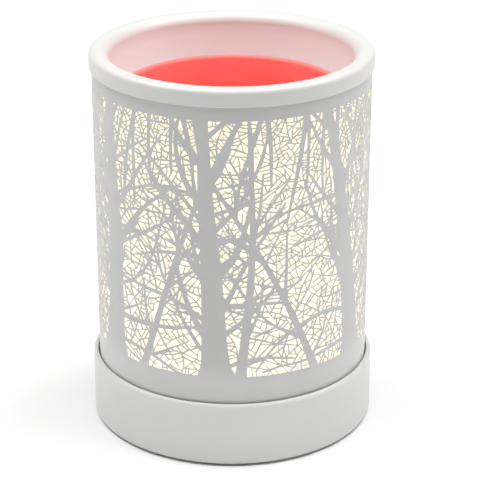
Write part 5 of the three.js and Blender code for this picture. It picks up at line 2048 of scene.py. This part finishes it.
@dataclass
class BackFittings:
    """Cord gland and rocker switch in the back wall of the base."""

    base: BaseHousing
    gland_bore: float = 3.4 * MM
    gland_radius: float = 4.7 * MM
    gland_length: float = 8.5 * MM
    flange_radius: float = 6.2 * MM
    flange: float = 1.6 * MM
    flange_ease: float = 0.7 * MM
    bore_lip: float = 0.5 * MM
    seat_gap: float = 0.05 * MM
    body_half: Point = (6.7 * MM, 4.4 * MM)
    body_depth: float = 13 * MM
    bezel_edge: float = 1.3 * MM
    bezel: float = 1.3 * MM
    bezel_round: float = 1.2 * MM
    bezel_ease: float = 0.45 * MM
    body_round: float = 0.3 * MM
    well_round: float = 0.5 * MM
    well_half: Point = (6 * MM, 3.6 * MM)
    well_depth: float = 5.6 * MM
    rocker_half: Point = (5.3 * MM, 3.2 * MM)
    rocker_crown: float = 2.6 * MM
    rocker_dip: float = 1.8 * MM
    rocker_belly: float = 1.6 * MM
    rocker_heel: float = 0.2 * MM
    rocker_ease: float = 0.35 * MM
    rocker_tilt: float = 8
    pivot_depth: float = 0.7 * MM
    pin_radius: float = 0.8 * MM
    pin_reach: float = 0.5 * MM
    pin_gap: float = 0.15 * MM
    mark_place: float = 3.1 * MM
    mark_half: float = 1.1 * MM
    mark_depth: float = 0.35 * MM
    mark_reach: float = 2 * MM
    bar_half: float = 0.25 * MM
    bar_round: float = 0.2 * MM
    ring_line: float = 0.45 * MM

    def build(self) -> None:
        """Builds the gland and the switch."""
        self.build_gland()
        self.build_switch_body()
        self.build_rocker()
        dress(["gland_nut"], BASE_WHITE)
        dress(numbered("switch_tab", 2), BRASS)

    def build_gland(self) -> None:
        """Builds the gland that the mains cord comes out of."""
        face = self.base.radius + self.seat_gap
        inner = face - self.gland_length
        front = face + self.flange
        ease, lip = self.flange_ease, self.bore_lip
        gland = Solid.turned([
            (self.gland_bore, inner), (self.gland_radius, inner), (self.gland_radius, face),
            (self.flange_radius, face), *arc((self.flange_radius - ease, front - ease), ease, 0, 90, 6),
            *arc((self.gland_bore + lip, front - lip), lip, 90, 180, 5),
        ], 64).placed(outward(90, self.base.gland_height))
        settle(gland.piece("cord_entry_gland"), BASE_WHITE, "base", ["cord_gland"])

    def build_switch_body(self) -> None:
        """Builds the switch's body, with a rounded bezel and the well that its rocker sits in."""
        face = self.base.radius + self.seat_gap
        front = face + self.bezel
        back = self.base.radius - self.body_depth
        ease = self.bezel_ease
        body = soft_rectangle(*self.body_half, self.body_round)
        wide = tuple(half + self.bezel_edge for half in self.body_half)
        plate = soft_rectangle(*wide, self.bezel_round)
        rings = [(body, back), (body, face), (plate, face), (plate, front - ease)]
        for angle in np.radians((30, 60, 90)):
            inset = ease * (1 - math.cos(angle))
            outline = soft_rectangle(wide[0] - inset, wide[1] - inset, self.bezel_round - inset)
            rings.append((outline, front - ease + ease * math.sin(angle)))
        well = soft_rectangle(*self.well_half, self.well_round)
        rings += [(well, front), (well, front - self.well_depth)]
        piece = Solid.lofted(rings).placed(switch_frame(self.base)).piece("rocker_switch_body")
        carve(piece, self.pivot_pin(self.pin_gap).placed(self.pivot()), Carving.CUT)
        settle(piece, BASE_WHITE, "base", ["switch_body"])

    def pivot(self) -> Matrix:
        """Gives the place of the rocker's pivot, with X out of the wall and Z up."""
        circle = self.base.radius - self.pivot_depth
        return at_azimuth(self.base.switch_azimuth, circle, self.base.switch_height)

    def pivot_pin(self, gap: float) -> Solid:
        """Gives the rocker's pivot pin, or the hole that it turns in.

        Args:
            gap: How much wider and longer than the pin it is.

        Returns:
            The pin, upright about the pivot.
        """
        radius = self.pin_radius + gap
        reach = self.rocker_half[1] + self.pin_reach + gap
        return Solid.turned([(0, -reach), (radius, -reach), (radius, reach), (0, reach)], 24)

    def rocker_face(self, along: float) -> float:
        """Gives how far the rocker's dished face stands out, at a place along it."""
        share = along / self.rocker_half[0]
        return self.rocker_dip + (self.rocker_crown - self.rocker_dip) * share * share

    def build_rocker(self) -> None:
        """Builds the rocker: a dished face, pivot pins, and a bar and a ring cut in for on and off."""
        half, height = self.rocker_half
        front = [(along, self.rocker_face(along)) for along in np.linspace(half, -half, 17)]
        heel = self.rocker_heel
        back = [(half * math.sin(a), heel - (self.rocker_belly + heel) * math.cos(a))
                for a in np.radians(np.linspace(-90, 90, 11))]
        outline = [(out, along) for along, out in [*back, *front]][::-1]
        rocker = Solid.lofted([(outline, -height), (outline, height)]).piece("dished_rocker")
        ease_edges(rocker, self.rocker_ease)
        carve(rocker, self.pivot_pin(0.0), Carving.JOIN)
        carve(rocker, self.switch_marks(), Carving.CUT)
        rocker.data.transform(self.pivot() @ Matrix.Rotation(math.radians(-self.rocker_tilt), 4, "Z"))
        settle(rocker, BASE_WHITE, "rocker", ["switch_rocker"])

    def switch_marks(self) -> Solid:
        """Gives the tools that cut the bar and the ring into the rocker's face.

        Returns:
            Both tools, in the rocker's own axes.
        """
        bottom = self.rocker_face(self.mark_place) - self.mark_depth
        top = bottom + self.mark_reach
        facing_out = Matrix.Rotation(math.radians(90), 4, "Y")
        bar_outline = soft_rectangle(self.mark_half, self.bar_half, self.bar_round)
        bar = Solid.lofted([(bar_outline, bottom), (bar_outline, top)])
        outer, inner = self.mark_half, self.mark_half - self.ring_line
        ring = Solid.turned([(inner, bottom), (outer, bottom), (outer, top), (inner, top)], 40)
        return gathered(tool.placed(Matrix.Translation((0.0, along, 0.0)) @ facing_out)
                        for tool, along in ((bar, self.mark_place), (ring, -self.mark_place)))


@dataclass
class Wiring:
    """Terminal block, leads and earth point inside the base."""

    def build(self) -> None:
        """Dresses the wiring, which keeps its own shapes."""
        dress(["terminal_block"], BLOCK_PLASTIC)
        dress(numbered("terminal_screw", 3), BRASS)
        dress(["terminal_fixing_screw"], STEEL)
        dress(["earth_tag", "earth_screw", "earth_nut"], BRASS)
        dress(["lead_live", "lead_switch"], BROWN_LEAD)
        dress(["lead_neutral"], BLUE_LEAD)
        dress(["lead_earth"], GREEN_LEAD)


@dataclass(frozen=True)
class SoftBox:
    """A square soft light that is aimed at a place."""

    name: str
    place: Triple
    aim: Triple
    width: float
    watts: float

    def hang(self) -> None:
        """Hangs the light where it belongs."""
        lamp = bpy.data.lights.new(self.name, "AREA")
        lamp.shape = "SQUARE"
        lamp.size = self.width
        lamp.energy = self.watts
        made = bpy.data.objects.new(self.name, lamp)
        made.location = self.place
        way = Vector(self.aim) - Vector(self.place)
        made.rotation_euler = way.to_track_quat("-Z", "Y").to_euler()
        bpy.context.scene.collection.objects.link(made)


@dataclass
class Studio:
    """Camera, floor and soft light."""

    lens_mm: float = 137.63
    camera_place: Triple = (0.0, -0.72159, 0.37378)
    camera_turn: Triple = (67.574, 0.0, -0.265)
    floor_half: float = 12.0
    ambient: float = 0.05
    horizon: float = 0.62
    horizon_top: float = 0.3
    horizon_foot: float = 0.12
    lights: tuple[SoftBox, ...] = (
        SoftBox("left box", (-0.75, 0.1, 1.25), (0.0, 0.05, 0.0), 1.0, 10.5),
        SoftBox("right box", (0.75, 0.1, 1.25), (0.0, 0.05, 0.0), 1.0, 12.5),
        SoftBox("overhead box", (0.0, -0.1, 1.4), (0.0, 0.0, 0.0), 1.0, 12.5),
    )

    def build(self) -> None:
        """Sets up the camera, the floor and the lights."""
        self.build_camera()
        self.build_floor()
        self.build_world()
        for light in self.lights:
            light.hang()

    def build_camera(self) -> None:
        """Sets the camera at the viewing angle of the photograph."""
        camera = bpy.data.cameras.new("studio camera")
        camera.sensor_width = 36.0
        camera.lens = self.lens_mm
        made = bpy.data.objects.new("studio camera", camera)
        made.location = self.camera_place
        made.rotation_euler = tuple(math.radians(angle) for angle in self.camera_turn)
        bpy.context.scene.collection.objects.link(made)
        bpy.context.scene.camera = made

    def build_floor(self) -> None:
        """Lays a plain pale floor."""
        half = self.floor_half
        corners = [(-half, -half), (half, -half), (half, half), (-half, half)]
        floor = Solid(np.array([(x, y, 0.0) for x, y in corners]), [(0, 1, 2, 3)]).piece("studio_floor")
        paper = StudioPaper("studio paper", "", (0.92, 0.92, 0.92), (0.91, 0.91, 0.91))
        floor.data.materials.append(paper.material())

    def build_world(self) -> None:
        """Sets soft light from all round, pale along the horizon, and plain tones."""
        shader = Shader(bpy.data.worlds.new("studio air"))
        direction = Signal(shader, shader.node("ShaderNodeTexCoord", {}, {}).outputs["Generated"])
        low = shader.between(shader.axes(direction)[2], self.horizon_top, self.horizon_foot)
        scene = bpy.context.scene
        scene.world = shader.finish({
            "Color": (*WHITE, 1.0),
            "Strength": low * (self.horizon - self.ambient) + self.ambient,
        })
        scene.view_settings.view_transform = "Standard"
        scene.view_settings.look = "None"


def main() -> None:
    """Builds the lamp's sub-assemblies in order."""
    logging.basicConfig(level=logging.INFO, format="%(message)s")
    base = BaseHousing.from_frame()
    for assembly in (Studio(), base, Underside(base), PiercedShade.from_frame(), WaxDish.from_frame(),
                     LampFitting(), BackFittings(base), Wiring()):
        LOG.info("building %s", type(assembly).__name__)
        assembly.build()


if __name__ == "__main__":
    main()
